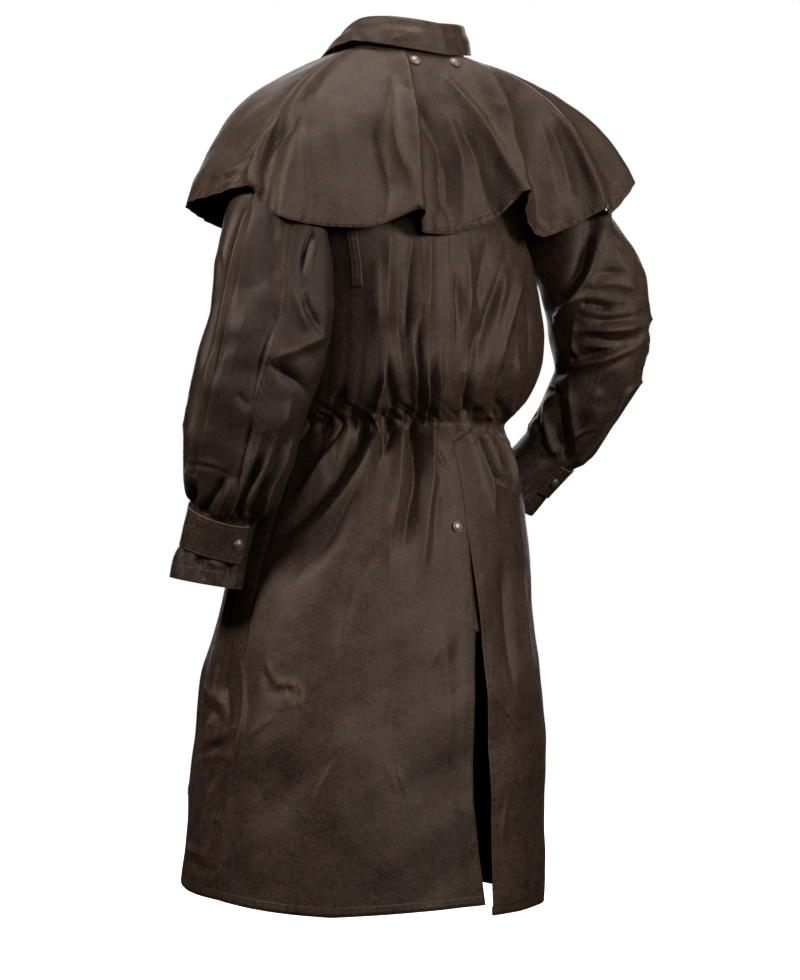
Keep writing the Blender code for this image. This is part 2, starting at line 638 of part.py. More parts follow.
def sleeve_grid(table, side):
    """Rings of a sleeve from the armhole to the cuff, starting at the top of the shoulder."""
    path = np.array([row[SLEEVE_X:SLEEVE_Z + 1] for row in table])
    sections = [sleeve_section(path, table, index, side) for index in range(len(table))]
    loop = armhole_loop(side)
    loop[:, 0] += side * GAP * ARMHOLE_SHARE
    rings = []
    for step in range(SLEEVE_CAP_RINGS):
        share = step / SLEEVE_CAP_RINGS
        ring = loop + (sections[0] - loop) * share
        for j in range(SLEEVE_COLUMNS):
            top = (1 + math.cos(2 * math.pi * j / SLEEVE_COLUMNS)) / 2
            swell = SLEEVE_CAP_BULGE * math.sin(math.pi * share) * top
            ring[j] += np.array((side * CAP_OUT, 0, CAP_UP)) * swell
        rings.append(ring)
    rings += sections
    for step in range(1, len(rings)):
        room = SLEEVE_CLEAR * min(1.0, 0.4 + 0.3 * step)
        for j in range(SLEEVE_COLUMNS):
            if rings[step][j][2] < UNDERARM + 0.02:
                rings[step][j] = clear_of_body(rings[step][j], room)
    return np.array(rings)


def make_sleeve(side, table, cloth_finish, metal):
    """Top and under sleeve with the seams between them, the cuff strap and its snap."""
    word = "left" if side > 0 else "right"
    grid = sleeve_grid(table, side)
    normals = grid_normals(grid, closed=True) * side
    normals[0] = unit(normals[0] + normals[1])
    normals[0, :, 0] = np.minimum(normals[0, :, 0] * side, 0) * side
    normals[0] = unit(normals[0])
    first, last = SLEEVE_SEAMS
    top_columns = [j % SLEEVE_COLUMNS for j in range(last, SLEEVE_COLUMNS + first + 1)]
    under_columns = list(range(first, last + 1))
    for part, columns in (("top", top_columns), ("under", under_columns)):
        outer = draw_in(grid[:, columns], ("first", "last"))
        cloth(f"sleeve_{word}_{part}", outer, outer - normals[:, columns] * WALL, cloth_finish)
    low, high = (SLEEVE_CAP_RINGS + ring for ring in STRAP_RINGS)
    columns = [j % SLEEVE_COLUMNS for j in range(STRAP_COLUMNS[0], STRAP_COLUMNS[1] + 1)]
    layer(f"cuff_strap_{word}", grid[low:high + 1][:, columns], normals[low:high + 1][:, columns],
          cloth_finish)
    middle = (low + high) // 2
    point = seat(grid, normals, middle, STRAP_SNAP_COLUMN, 2 * GAP + WALL)
    snap(f"cuff_snap_{word}", point, normals[middle, STRAP_SNAP_COLUMN], metal)


def cape_columns():
    """The cape's hem rows with one more point halfway along each stretch."""
    table = np.array(CAPE_HEM)
    places = np.linspace(0, len(table) - 1, 2 * len(table) - 1)
    return [read_curve(range(len(table)), table, at) for at in places]


def neck_way(angle):
    """The level direction outwards from the neck at an angle."""
    point = neck_place(angle)
    return unit(np.array((point[0], point[1] - NECK_SEAM[3][NECK_Y], 0.0)))


def make_cape(material):
    grid = []
    columns = cape_columns()
    for i in range(CAPE_ROWS + 1):
        share = i / CAPE_ROWS
        row = []
        for column in columns:
            angle = column[CAPE_ANGLE]
            start = neck_place(angle) + neck_way(angle) * CAPE_EDGE_OUT
            start[2] += CAPE_EDGE_UP
            hem = column[CAPE_X:CAPE_Z + 1]
            bend = CAPE_BEND + CAPE_BEND_MIDDLE * math.cos(math.radians(angle)) ** 2
            sweep = share + bend * share * (1 - share)
            drop = share - bend * share * (1 - share)
            point = start + (hem - start) * np.array((sweep, sweep, drop))
            row.append(point)
        grid.append(row)
    grid = np.array(grid)
    normals = grid_normals(grid)
    cloth("cape", grid, grid - normals * WALL, material)
    return grid, normals


def make_collar(cloth_finish):
    """The stand round the neck and the fall that turns over it."""
    angles = np.linspace(COLLAR_END, -COLLAR_END, COLLAR_COLUMNS + 1)
    table_angles = [row[NECK_ANGLE] for row in NECK_SEAM]
    stand, fall = [[], []], [[] for _ in FALL_SECTION]
    for angle in angles:
        row = read_curve(table_angles, NECK_SEAM, abs(angle))
        way = neck_way(angle)
        seam = neck_place(angle)
        crest = seam - way * STAND_LEAN + np.array((0, 0, row[STAND_HEIGHT]))
        stand[0].append(seam + np.array((0, 0, STAND_BASE)))
        stand[1].append(crest)
        for k, section in enumerate(FALL_SECTION):
            out = section[FOLD_OUT] + section[FOLD_SHARE] * row[FALL_OUT]
            up = section[FOLD_UP] - section[FOLD_SHARE] * row[FALL_DOWN]
            fall[k].append(crest + way * out + np.array((0, 0, up)))
    stand = np.array(stand)
    normals = -grid_normals(stand)
    normals = normals * np.sign(np.sum(normals[0, COLLAR_COLUMNS // 2] * (0, 1, 0)))
    cloth("collar_stand", stand, stand - normals * WALL, cloth_finish)
    fall = np.array(fall)
    normals = grid_normals(fall)
    cloth("collar_fall", fall, fall - normals * WALL, cloth_finish)


def make_coat():
    clear_scene()
    oilskin = finish("oilskin", WAX_BROWN, 0.62, 0.0)
    copper = finish("copper", COPPER, 0.38, 1.0)
    body = make_body(oilskin)
    make_front_closing(body, oilskin, copper)
    make_vent(body, oilskin, copper)
    make_cape_strap(body, oilskin)
    make_sleeve(1, LEFT_SLEEVE, oilskin, copper)
    make_sleeve(-1, RIGHT_SLEEVE, oilskin, copper)
    grid, normals = make_cape(oilskin)
    for word, angle in COLLAR_SNAPS:
        column = int(np.argmin([abs(item[CAPE_ANGLE] - angle) for item in cape_columns()]))
        point = seat(grid, normals, 1, column, GAP)
        snap(f"collar_snap_{word}", point, normals[1, column], copper)
    make_collar(oilskin)


make_coat()
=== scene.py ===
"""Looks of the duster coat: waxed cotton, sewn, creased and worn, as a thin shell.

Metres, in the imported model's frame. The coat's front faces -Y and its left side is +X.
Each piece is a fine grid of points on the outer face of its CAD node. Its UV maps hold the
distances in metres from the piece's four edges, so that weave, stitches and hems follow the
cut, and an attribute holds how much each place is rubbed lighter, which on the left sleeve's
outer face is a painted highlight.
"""

import math

import bpy
import numpy as np
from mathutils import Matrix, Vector


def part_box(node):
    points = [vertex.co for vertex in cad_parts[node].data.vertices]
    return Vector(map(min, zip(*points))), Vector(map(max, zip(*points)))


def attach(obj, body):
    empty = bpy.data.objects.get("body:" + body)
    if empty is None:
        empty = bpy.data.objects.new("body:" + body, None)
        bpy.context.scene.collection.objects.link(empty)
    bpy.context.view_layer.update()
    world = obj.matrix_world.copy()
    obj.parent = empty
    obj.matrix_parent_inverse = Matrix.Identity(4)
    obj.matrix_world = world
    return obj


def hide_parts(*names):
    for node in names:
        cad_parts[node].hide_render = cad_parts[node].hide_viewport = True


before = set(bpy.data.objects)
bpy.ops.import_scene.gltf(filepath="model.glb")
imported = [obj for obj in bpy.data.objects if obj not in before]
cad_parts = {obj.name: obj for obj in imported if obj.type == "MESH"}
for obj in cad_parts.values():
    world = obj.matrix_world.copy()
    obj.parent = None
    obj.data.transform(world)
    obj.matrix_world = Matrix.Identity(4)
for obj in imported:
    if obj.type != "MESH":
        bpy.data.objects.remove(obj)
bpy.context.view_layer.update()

# Sizes of the fine grids
BACK_COLUMNS = 190
FRONT_COLUMNS = 84
ROW_STEP = 0.0055
WAIST_BAND = 0.075
WAIST_STEP = 0.00230
UPPER_STEPS = 40
SLEEVE_COLUMNS = 240
SLEEVE_STEP = 0.0030
CAPE_COLUMNS = 620
CAPE_ROWS = 72
COLLAR_COLUMNS = 220
COLLAR_MIDDLE = COLLAR_COLUMNS // 2
STAND_STEPS, FALL_STEPS = 16, 44
CAP_STEPS = 20
GUSSET_ROWS, GUSSET_COLUMNS = 60, 30

# Pleats drawn in at the waist: their numbers in a quarter of the round, how narrow their troughs
# are, how much they differ and drift, how far they stand out, how wide the calm stretch at the
# centre back is, and the turns between which the photograph's own creases take their place
BACK_PLEATS = 9
FRONT_PLEATS = 6
PLEAT_SHARP = 2.4
PLEAT_UNEVEN = 0.45
PLEAT_DRIFT = 0.16
PLEAT_DRIFT_FROM = 0.15
PLEAT_GAIN = 1.15
CALM_BACK = 0.12
FRONT_TURN = 2.0
TURN_STEP = 0.01
SEEN_SHARE = 0.96
SEEN_FROM, SEEN_TO = (-0.92, -0.80), (0.90, 1.02)

# Heights, and how the body narrows to the neck: the share of a row that meets the neck seam, and
# how far the cloth below the cape is drawn in, from which height up and to which share
HEM = -1.200
WAIST = -0.525
UNDERARM = -0.250
VENT_TOP = -0.672
NECK_SHARE = 0.4
HIDDEN_SINK = 0.005
HIDDEN_FROM = (-0.19, -0.13)
HIDDEN_TO = (0.85, 1.0)
HIDDEN_DOWN = 0.6

# Body rings from the hem up to the underarm, half widths each way from the middle
RING_HEIGHT, RING_LEFT, RING_RIGHT, RING_BACK, RING_FRONT, RING_SQUARE, RING_PLEAT = range(7)
BODY_RINGS = (
    (HEM, 0.318, 0.222, 0.197, 0.268, 2.20, 0.0000),
    (-1.060, 0.305, 0.225, 0.194, 0.260, 2.20, 0.0000),
    (-0.930, 0.288, 0.224, 0.184, 0.243, 2.20, 0.0006),
    (-0.820, 0.270, 0.217, 0.172, 0.214, 2.20, 0.0014),
    (VENT_TOP, 0.230, 0.207, 0.154, 0.176, 2.25, 0.0028),
    (-0.620, 0.209, 0.200, 0.145, 0.158, 2.30, 0.0042),
    (-0.565, 0.190, 0.190, 0.131, 0.140, 2.30, 0.0058),
    (WAIST, 0.178, 0.180, 0.119, 0.124, 2.30, 0.0060),
    (-0.490, 0.183, 0.212, 0.136, 0.138, 2.40, 0.0072),
    (-0.450, 0.184, 0.234, 0.147, 0.145, 2.45, 0.0050),
    (-0.400, 0.184, 0.244, 0.150, 0.146, 2.50, 0.0028),
    (-0.340, 0.184, 0.238, 0.147, 0.142, 2.50, 0.0012),
    (-0.290, 0.187, 0.222, 0.142, 0.138, 2.50, 0.0004),
    (UNDERARM, 0.195, 0.206, 0.138, 0.134, 2.40, 0.0000),
)

# Where the hem lies above or below its level, by turn
LIFT_TURN, LIFT_UP = range(2)
HEM_LIFTS = ((-2.0, 0.004), (-1.0, -0.018), (-0.001, -0.019), (0.001, -0.002),
             (0.5, -0.005), (1.0, 0.011), (1.5, 0.020), (2.0, 0.004))
HEM_LIFT_REACH = 0.400

# Armhole edges of the left side from the underarm up to the shoulder
ARMHOLE_BACK = ((0.195, 0.000, UNDERARM), (0.1955, 0.045, -0.228), (0.188, 0.078, -0.190),
                (0.182, 0.088, -0.145), (0.185, 0.068, -0.098), (0.195, 0.030, -0.066),
                (0.200, -0.002, -0.056))
ARMHOLE_FRONT = ((0.195, 0.000, UNDERARM), (0.192, -0.040, -0.228), (0.178, -0.066, -0.190),
                 (0.168, -0.078, -0.145), (0.172, -0.066, -0.100), (0.190, -0.035, -0.068),
                 (0.200, -0.002, -0.056))
# Middle lines of the upper back and front, from the underarm's height up to the neck
CENTRE_BACK = ((0.018, 0.138, UNDERARM), (0.017, 0.1385, -0.210), (0.015, 0.137, -0.165),
               (0.012, 0.132, -0.120), (0.008, 0.123, -0.075), (0.004, 0.112, -0.035),
               (0.0, 0.1005, -0.0003))
CENTRE_FRONT = ((0.0, -0.134, UNDERARM), (0.0, -0.134, -0.220), (0.0, -0.131, -0.190),
                (0.0, -0.126, -0.160), (0.0, -0.118, -0.130), (0.0, -0.106, -0.095),
                (0.0, -0.0885, -0.0603))

# Neck seam and collar by the angle from the centre back: seam place, then the fold line's
# height over the seam, and how far out and down the fall's edge lies from the fold line
NECK_ANGLE, NECK_X, NECK_Y, NECK_Z, STAND_HEIGHT, FALL_OUT, FALL_DOWN = range(7)
NECK_SEAM = (
    (0.0, 0.000, 0.1005, 0.000, 0.044, 0.016, 0.043),
    (30.0, 0.044, 0.0930, 0.002, 0.045, 0.016, 0.042),
    (60.0, 0.076, 0.0640, 0.006, 0.045, 0.017, 0.038),
    (90.0, 0.088, 0.0180, 0.010, 0.040, 0.020, 0.029),
    (115.0, 0.084, -0.0240, 0.003, 0.030, 0.028, 0.024),
    (140.0, 0.066, -0.0600, -0.020, 0.024, 0.036, 0.025),
    (160.0, 0.036, -0.0810, -0.044, 0.020, 0.036, 0.018),
    (180.0, 0.000, -0.0885, -0.060, 0.018, 0.034, 0.016),
)
NECK_MIDDLE_Y = NECK_SEAM[3][NECK_Y]
COLLAR_END = 168.0
STAND_LEAN = 0.005
STAND_BASE = 0.0008

# Section of the collar's fall from inside the fold line to its edge: own way out, own way
# up, and the share of the fall's reach
FOLD_OUT, FOLD_UP, FOLD_SHARE = range(3)
FALL_SECTION = ((-0.0020, 0.0026, 0.00), (0.0018, 0.0038, 0.00), (0.0052, 0.0012, 0.02),
                (0.0065, -0.0040, 0.12), (0.0060, 0.0000, 0.45), (0.0030, 0.0000, 0.75),
                (0.0000, 0.0000, 1.00))

# Hem of the cape: angle at the neck, then the place of the hem. Flutes rise slowly to a
# ridge and then tuck in below it.
CAPE_ANGLE, CAPE_X, CAPE_Y, CAPE_Z = range(4)
CAPE_HEM = (
    (179.6, 0.001, -0.176, -0.262), (166.0, 0.060, -0.182, -0.262), (154.0, 0.112, -0.192, -0.252),
    (144.0, 0.152, -0.172, -0.248), (134.0, 0.194, -0.172, -0.236), (123.0, 0.240, -0.158, -0.226),
    (111.0, 0.297, -0.104, -0.214), (99.0, 0.310, -0.030, -0.209), (90.0, 0.303, 0.046, -0.202),
    (86.0, 0.290, 0.060, -0.226), (78.0, 0.285, 0.099, -0.247), (68.0, 0.237, 0.110, -0.255),
    (58.0, 0.192, 0.122, -0.257), (49.0, 0.148, 0.134, -0.253), (42.0, 0.101, 0.179, -0.231),
    (38.0, 0.078, 0.154, -0.257), (27.0, 0.052, 0.150, -0.260), (14.0, 0.022, 0.150, -0.258),
    (2.0, -0.012, 0.157, -0.248), (-9.0, -0.048, 0.172, -0.230), (-18.0, -0.080, 0.197, -0.194),
    (-22.0, -0.108, 0.166, -0.228), (-30.0, -0.146, 0.156, -0.253), (-39.0, -0.188, 0.162, -0.240),
    (-48.0, -0.222, 0.176, -0.222), (-55.0, -0.248, 0.184, -0.209), (-62.0, -0.300, 0.146, -0.208),
    (-72.0, -0.352, 0.138, -0.160), (-84.0, -0.352, 0.060, -0.184), (-97.0, -0.334, -0.016, -0.200),
    (-110.0, -0.298, -0.084, -0.212), (-122.0, -0.246, -0.146, -0.230),
    (-133.0, -0.200, -0.166, -0.232), (-143.0, -0.156, -0.170, -0.248),
    (-154.0, -0.112, -0.190, -0.252), (-166.0, -0.060, -0.181, -0.262),
    (-179.6, -0.001, -0.176, -0.262),
)
CAPE_EDGE_OUT = 0.0010
CAPE_EDGE_UP = 0.0032
CAPE_BEND = 0.55
CAPE_BEND_MORE = 0.25

# Sleeve sections from below the armhole to the cuff: middle, half widths across and through
SLEEVE_X, SLEEVE_Y, SLEEVE_Z, SLEEVE_ACROSS, SLEEVE_THROUGH = range(5)
LEFT_SLEEVE = (
    (0.2570, 0.0460, -0.3000, 0.0830, 0.0540),
    (0.2640, 0.0520, -0.3700, 0.0850, 0.0560),
    (0.2760, 0.0440, -0.4300, 0.0860, 0.0580),
    (0.2890, 0.0320, -0.4900, 0.0850, 0.0590),
    (0.2945, 0.0190, -0.5500, 0.0800, 0.0580),
    (0.2975, 0.0060, -0.6060, 0.0720, 0.0540),
    (0.2985, -0.0070, -0.6350, 0.0600, 0.0490),
    (0.2995, -0.0150, -0.6520, 0.0480, 0.0430),
    (0.3005, -0.0260, -0.6810, 0.0470, 0.0430),
    (0.3020, -0.0340, -0.7090, 0.0475, 0.0430),
    (0.3060, -0.0400, -0.7280, 0.0500, 0.0440),
    (0.3090, -0.0430, -0.7500, 0.0500, 0.0450),
)
RIGHT_SLEEVE = (
    (-0.2960, 0.0960, -0.2880, 0.0780, 0.0580),
    (-0.3080, 0.1040, -0.3400, 0.0790, 0.0600),
    (-0.3150, 0.1020, -0.3900, 0.0760, 0.0600),
    (-0.3200, 0.0900, -0.4400, 0.0690, 0.0580),
    (-0.3150, 0.0690, -0.4850, 0.0600, 0.0550),
    (-0.3080, 0.0480, -0.5180, 0.0580, 0.0530),
    (-0.3000, 0.0300, -0.5430, 0.0520, 0.0490),
    (-0.2930, 0.0160, -0.5600, 0.0460, 0.0430),
    (-0.2830, 0.0000, -0.5800, 0.0450, 0.0430),
    (-0.2730, -0.0160, -0.5990, 0.0455, 0.0430),
    (-0.2660, -0.0270, -0.6120, 0.0470, 0.0440),
    (-0.2590, -0.0380, -0.6250, 0.0475, 0.0450),
)
SLEEVE_ACROSS_WAY = np.array((-0.766, 0.643, 0.0))
SLEEVE_CLEAR = 0.010
SLEEVE_CLEAR_FROM = (-1.0, -0.4)
SLEEVE_CLEAR_TOP = UNDERARM + 0.02
SLEEVE_CAP_BULGE = 0.014
SLEEVE_CAP_OUT, SLEEVE_CAP_UP = 0.8, 0.6
CAP_SOFT_PLACES = 0.8
CAP_SOFT_ROUNDS = 6
SOFT_SHARE = 0.6

# Columns of the CAD sleeve at its two seams and at the cuff strap's ends, and the strap's rings
CAD_SLEEVE_COLUMNS = 24
SLEEVE_SEAMS = (6, 20)
STRAP_RINGS = (7, 9)
STRAP_COLUMNS = (17, 30)

# Back seam and slit: where the left and the right half end, as a place across, by height
EDGE_HEIGHT, EDGE_LEFT, EDGE_RIGHT = range(3)
BACK_EDGES = ((HEM, 0.002, -0.016), (-1.060, 0.024, -0.015), (-0.930, 0.015, -0.016),
              (-0.820, -0.002, -0.018), (VENT_TOP, -0.002, -0.004), (-0.620, -0.002, 0.014),
              (-0.565, -0.001, 0.012), (WAIST, 0.004, 0.004), (-0.490, 0.012, 0.012),
              (-0.450, 0.018, 0.018), (UNDERARM, 0.018, 0.018))

# Snaps: their size, how far they stand off the cloth, and how far the cloth lies calm round them
SNAP_SIDES = 40
SNAP_RADIUS = 0.0075
SNAP_HEIGHT = 0.0030
SNAP_LIFT = 0.0003
SNAP_CALM = (0.007, 0.026)
SNAP_BED = 2
FRONT_SNAPS = 5
# Section of a snap from its rim to its middle: shares of its radius and height, and its wear
SNAP_SECTION = ((0.96, -0.25, 0.10), (1.00, 0.10, 0.35), (1.00, 0.34, 0.70), (0.95, 0.52, 1.00),
                (0.88, 0.56, 0.80), (0.83, 0.46, 0.15), (0.79, 0.46, 0.05), (0.74, 0.60, 0.35),
                (0.64, 0.80, 0.70), (0.48, 0.95, 0.80), (0.28, 1.04, 0.75), (0.10, 1.07, 0.70))

# Left half of the back where it laps over the right one: how far it is lifted, from which
# distance to its edge and from which height down
OVERLAP_LIFT = 0.0030
OVERLAP_REACH = (0.034, 0.016)
OVERLAP_FROM, OVERLAP_FULL = WAIST + 0.02, WAIST - 0.04

# Waist: the drawn-in line and the fuller cloth beside it, then ranges of its random gathers:
# width, depth, reach up and down, and the step to the next one
CORD_DIP = 0.00200
CORD_DIP_WIDE = 0.0070
CORD_BULGE = 0.00090
CORD_BULGE_AT, CORD_BULGE_WIDE = 0.021, 0.012
WAIST_SEED = 7
GATHER_WIDE, GATHER_DEEP = (0.0026, 0.0062), (0.0014, 0.0060)
GATHER_UP, GATHER_DOWN = (0.008, 0.045), (0.008, 0.050)
GATHER_STEP = (0.010, 0.034)
GATHER_OFF_LEVEL = 0.003
GATHER_LEAN = 0.30
GATHER_SPREAD = 30
GATHER_BAND_POWER, GATHER_SIDE_POWER = 1.5, 1.4

# Gathers at the cuff: ranges of their width and depth as a share of the round and in metres,
# where they end up the sleeve and the step to the next one, then the places between which they
# and the sleeve's slackness grow and fade
CUFF_SEED = 31
CUFF_WIDE, CUFF_DEEP = (0.010, 0.021), (0.0018, 0.0052)
CUFF_TOP, CUFF_STEP = (3.3, 5.4), (0.035, 0.085)
CUFF_LEAN = 0.012
CUFF_FULL = 6.6
CUFF_END = (7.0, 7.5)
BELOW_STRAP_FROM, BELOW_STRAP_TO = (8.7, 9.1), (9.4, 11.0)
BELOW_STRAP_SHARE = 0.6
CUFF_POWER = 1.6
CUFF_SWELL = 0.0015
CUFF_SWELL_FROM = (5.0, 6.6)
LOOSE_FROM, LOOSE_TO = (-0.9, 0.2), (6.2, 7.0)
PRESSED_FROM, PRESSED_TO = (6.6, 7.1), (8.9, 9.3)
PRESSED_SHARE = 0.9
SET_IN = (-1.0, -0.8)

# Slackness of the cloth: how many waves it sums and what evens them out, then the size, the
# depth and the seed of its broad and its fine waves
SLACK_WAVES, SLACK_EVEN = 7, 4.0
BODY_SLACK = ((0.17, 0.0034, 11), (0.060, 0.0009, 12))
SLEEVE_SLACK = ((0.11, 0.0030, 21), (0.045, 0.0008, 22))
CAPE_SLACK = ((0.13, 0.0020, 41), (0.05, 0.0006, 42))
COLLAR_SLACK = ((0.06, 0.0012, 51),)
CAPE_SLACK_FROM, COLLAR_SLACK_FROM = (0.0, 0.05), (0.012, 0.03)
SKIRT_SLACK = (WAIST - 0.03, WAIST - 0.40)
BLOUSE_SLACK = (WAIST + 0.02, WAIST + 0.10)
BLOUSE_SLACK_END = (-0.24, -0.16)
BLOUSE_SLACK_SHARE = 0.6

# Puckers of the cape's hem: their length, height and reach up from the hem
HEM_WAVE, HEM_WAVE_HIGH, HEM_WAVE_REACH = 0.031, 0.0011, 0.045
HEM_WAVE_DRIFT, HEM_WAVE_BEAT = 2.0, 23

# Places of the flap, the gusset behind the slit and the strap below the cape
FLAP_BOTTOM, FLAP_TOP = -1.058, -0.078
FLAP_REACH = 10
GUSSET_LOW, GUSSET_HIGH = -0.820, -0.620
GUSSET_LEFT, GUSSET_RIGHT = 0.030, -0.032
GUSSET_DEPTH = 0.0066
LOOP_FROM, LOOP_TO = 11 / 27, 13 / 27
LOOP_LOW, LOOP_HIGH = -0.342, -0.215
STRIP_LIFT, LOOP_LIFT = 0.0026, 0.0022
STRIP_ROUNDS, CUFF_STRIP_ROUNDS = 8, 3
STRIP_PERCENTILE = 95

# Photograph's camera, in pixels of an 800 by 980 picture and metres
IMAGE_MIDDLE = (400.0, 490.0)
PIXEL = 0.0014555
CAMERA_AZIMUTH = 140.0
CAMERA_DISTANCE = 4.2
CAMERA_HEIGHT = -0.62
CAMERA_SHIFT = 0.0073
CAMERA_LENS = 106.0

# Sewing, in metres, by kind of edge: width of the doubled cloth, how far it stands up, its
# stitch rows, its puckers, and how wide it is worn and how dark beside it
EDGE_KINDS = {
    "vent_edge": {"width": 0.012, "raise": 0.0003, "rows": (), "pucker": 0.0,
                  "worn": 0.0012, "shadow": 0.25},
    "skirt_hem": {"width": 0.013, "raise": 0.0005, "rows": (0.0115,), "pucker": 0.00016,
                  "worn": 0.0030, "shadow": 0.5},
    "cape_hem": {"width": 0.0085, "raise": 0.0006, "rows": (0.0070,), "pucker": 0.00032,
                 "worn": 0.0042, "shadow": 0.9},
    "cuff_hem": {"width": 0.0200, "raise": 0.0005, "rows": (0.0020, 0.0180), "pucker": 0.00030,
                 "worn": 0.0035, "shadow": 0.5},
    "fell": {"width": 0.0105, "raise": 0.0006, "rows": (0.0017, 0.0088), "pucker": 0.00004,
             "worn": 0.0007, "shadow": 0.5},
    "seam": {"width": 0.0012, "raise": -0.0005, "rows": (), "pucker": 0.00014,
             "worn": 0.0, "shadow": 0.6},
    "edge": {"width": 0.0060, "raise": 0.0003, "rows": (0.0022, 0.0075), "pucker": 0.00012,
             "worn": 0.0009, "shadow": 0.2},
}
STITCH_LENGTH = 0.0033
STITCH_SHARE = (0.46, 0.34)
STITCH_WIDE = 0.00055
STITCH_ROUND = 0.4
GROOVE_UNDER_STITCH = 0.5
STITCH_HEIGHT = 0.00010
STITCH_DRAW = 0.00010
STITCH_GROOVE = 0.0032
PUCKER_LENGTH = 0.0125
PUCKER_REACH = 0.011
PUCKER_DRIFT = 9.0
PUCKER_CREST = (0.25, 0.9)
FOLD_STEP_OUT, FOLD_STEP_IN = 0.0009, 0.0005
SHADOW_WIDE = 0.0022
WEAVE = 0.0011

# Turned hems of the cut, by piece: the edge and the width of cloth that is turned in
SKIRT_TURN = ("low", 0.013)
STRAP_TURN, LOOP_TURN, COLLAR_TURN = 0.006, 0.004, 0.007
HEMS = {
    "front_left": [SKIRT_TURN],
    "back_left": [SKIRT_TURN, ("last", 0.012)],
    "back_right": [SKIRT_TURN, ("first", 0.012)],
    "front_right": [SKIRT_TURN],
    "front_flap": [(edge, STRAP_TURN) for edge in ("first", "last", "low")],
    "vent_gusset": [("low", STRAP_TURN)],
    "cape_strap": [(edge, LOOP_TURN) for edge in ("first", "last", "low")],
    "sleeve": [("high", 0.020)],
    "cuff_strap": [(edge, STRAP_TURN) for edge in ("first", "last", "low", "high")],
    "cape": [("high", 0.0085), ("first", 0.010), ("last", 0.010)],
    "collar_fall": [(edge, COLLAR_TURN) for edge in ("high", "first", "last")],
}
# Rubbed colour, wear and painted highlight, among the values that each point of a cloth has,
# after its distances from the four edges
RUB_AND_HIGHLIGHT_FIELD = 4
# Hem turned inside: shares of its width from the fold, and how far it lies under the outer face
HEM_FOLD_ROWS = 14
HEM_FOLD = ((1.0, 0.0020), (0.5, 0.0022), (0.12, 0.0021), (0.02, 0.0014), (0.0, 0.0005))

# Colours of the waxed cloth, from its deepest wax (also the colour of painted shade) to its
# rubbed edges, and how much painted shade darkens each sleeve towards the deepest wax
WAX_DEEP_AND_SHADE = (0.0095, 0.0050, 0.0034)
WAX_DARK = (0.0165, 0.0088, 0.0058)
WAX_MIDDLE = (0.0320, 0.0174, 0.0108)
WAX_LIGHT = (0.0450, 0.0255, 0.0160)
# Rubbed colour: wear on crests, and also a painted highlight along the left sleeve's outer face
RUBBED_AND_HIGHLIGHT = (0.115, 0.066, 0.043)
EDGE_WORN = (0.150, 0.082, 0.054)
LEFT_SLEEVE_PAINTED_SHADE = 0.55
RIGHT_SLEEVE_PAINTED_SHADE = 0.12
THREAD = (0.055, 0.031, 0.020)
WAX_SHEEN = (1.0, 0.80, 0.68)
WAX_IOR = 1.46
SNAP_DARK = (0.090, 0.066, 0.054)
SNAP_BRIGHT = (0.34, 0.27, 0.235)
FLOOR_GREY = (0.60, 0.60, 0.60)
WHITE = (1.0, 1.0, 1.0)

# Uneven patterns, each a noise by its scale, detail, roughness and bend, and how high it stands
CLOTH_PATTERNS = {
    "patches": (9.0, 4.0, 0.6, 0.3),
    "mottle": (48.0, 6.0, 0.66, 0.25),
    "grain": (190.0, 5.0, 0.72, 0.0),
    "fleck": (620.0, 3.0, 0.6, 0.0),
    "swell": (17.0, 2.0, 0.45, 0.5),
}
WEAVE_HIGH = 0.00005
PATTERN_HIGH = (("swell", 0.0022), ("mottle", 0.0009), ("grain", 0.00034))
COPPER_SPREAD = (240.0, 4.0, 0.6, 0.0)
COPPER_FINE = (1500.0, 3.0, 0.6, 0.0)
COPPER_SPREAD_HIGH, COPPER_FINE_HIGH = 0.00007, 0.00002
COPPER_MOTTLE, COPPER_RAMP = 0.9, (0.15, 0.85)
COPPER_ROUGH, COPPER_POLISH, COPPER_ROUGH_FINE = 0.70, 0.22, 0.12
COPPER_METALLIC = 0.9

# Colour of the cloth: its ground between dark and middle wax, then layers that each lie where
# their pattern is high (or low), between two of its values, with a strength and a colour
GROUND_LEAST, GROUND_MORE, GROUND_RAMP = 0.3, 0.5, (0.32, 0.68)
CLOTH_LAYERS = (
    ("mottle", True, (0.40, 0.66), 0.60, WAX_LIGHT),
    ("mottle", False, (0.50, 0.68), 0.40, WAX_DEEP_AND_SHADE),
    ("grain", True, (0.45, 0.62), 0.70, WAX_LIGHT),
    ("grain", False, (0.50, 0.64), 0.55, WAX_DEEP_AND_SHADE),
    ("fleck", True, (0.52, 0.66), 0.60, RUBBED_AND_HIGHLIGHT),
)
RUB_LEAST, RUB_AND_HIGHLIGHT_MOTTLED = 0.35, 0.9
CREST_WORN, WEAR_MOST = 0.10, 0.85
SHADOW_STRENGTH, THREAD_STRENGTH = 0.6, 0.35
CLOTH_ROUGH, ROUGH_MOTTLE, ROUGH_RUB, ROUGH_GRAIN = 0.50, 0.20, 0.06, 0.30

# Creases: how far they stand up or sink and how far they spread to the right and left of their
# course, in millimetres, the shares of that at their first and last end, how much rubbed colour
# they lay on (wear, and on one flat row a painted highlight), and their course in pixels of the
# photograph, or of the same camera at another azimuth
(CREASE_DEPTH, CREASE_WIDTH, CREASE_BEYOND, CREASE_START, CREASE_END, CREASE_RUB_AND_HIGHLIGHT,
 CREASE_PATH) = range(7)
CREASE_STEP = 0.012
CREASE_LEAST_STEPS = 5
CREASE_GAIN = 1.55
CREASE_POWER = 1.3
CREASE_REACH = 2.6
CREASE_WANDER = 0.25
WANDER_BEAT, WANDER_PHASE = 9, 4000
MILLIMETRE = 0.001
CREASE_GROWN, CREASE_FADES = 0.35, 0.5
RUB_AND_HIGHLIGHT_SHARE, RUB_AND_HIGHLIGHT_WIDE = 0.4, 0.0015
FACING_AWAY = -0.05

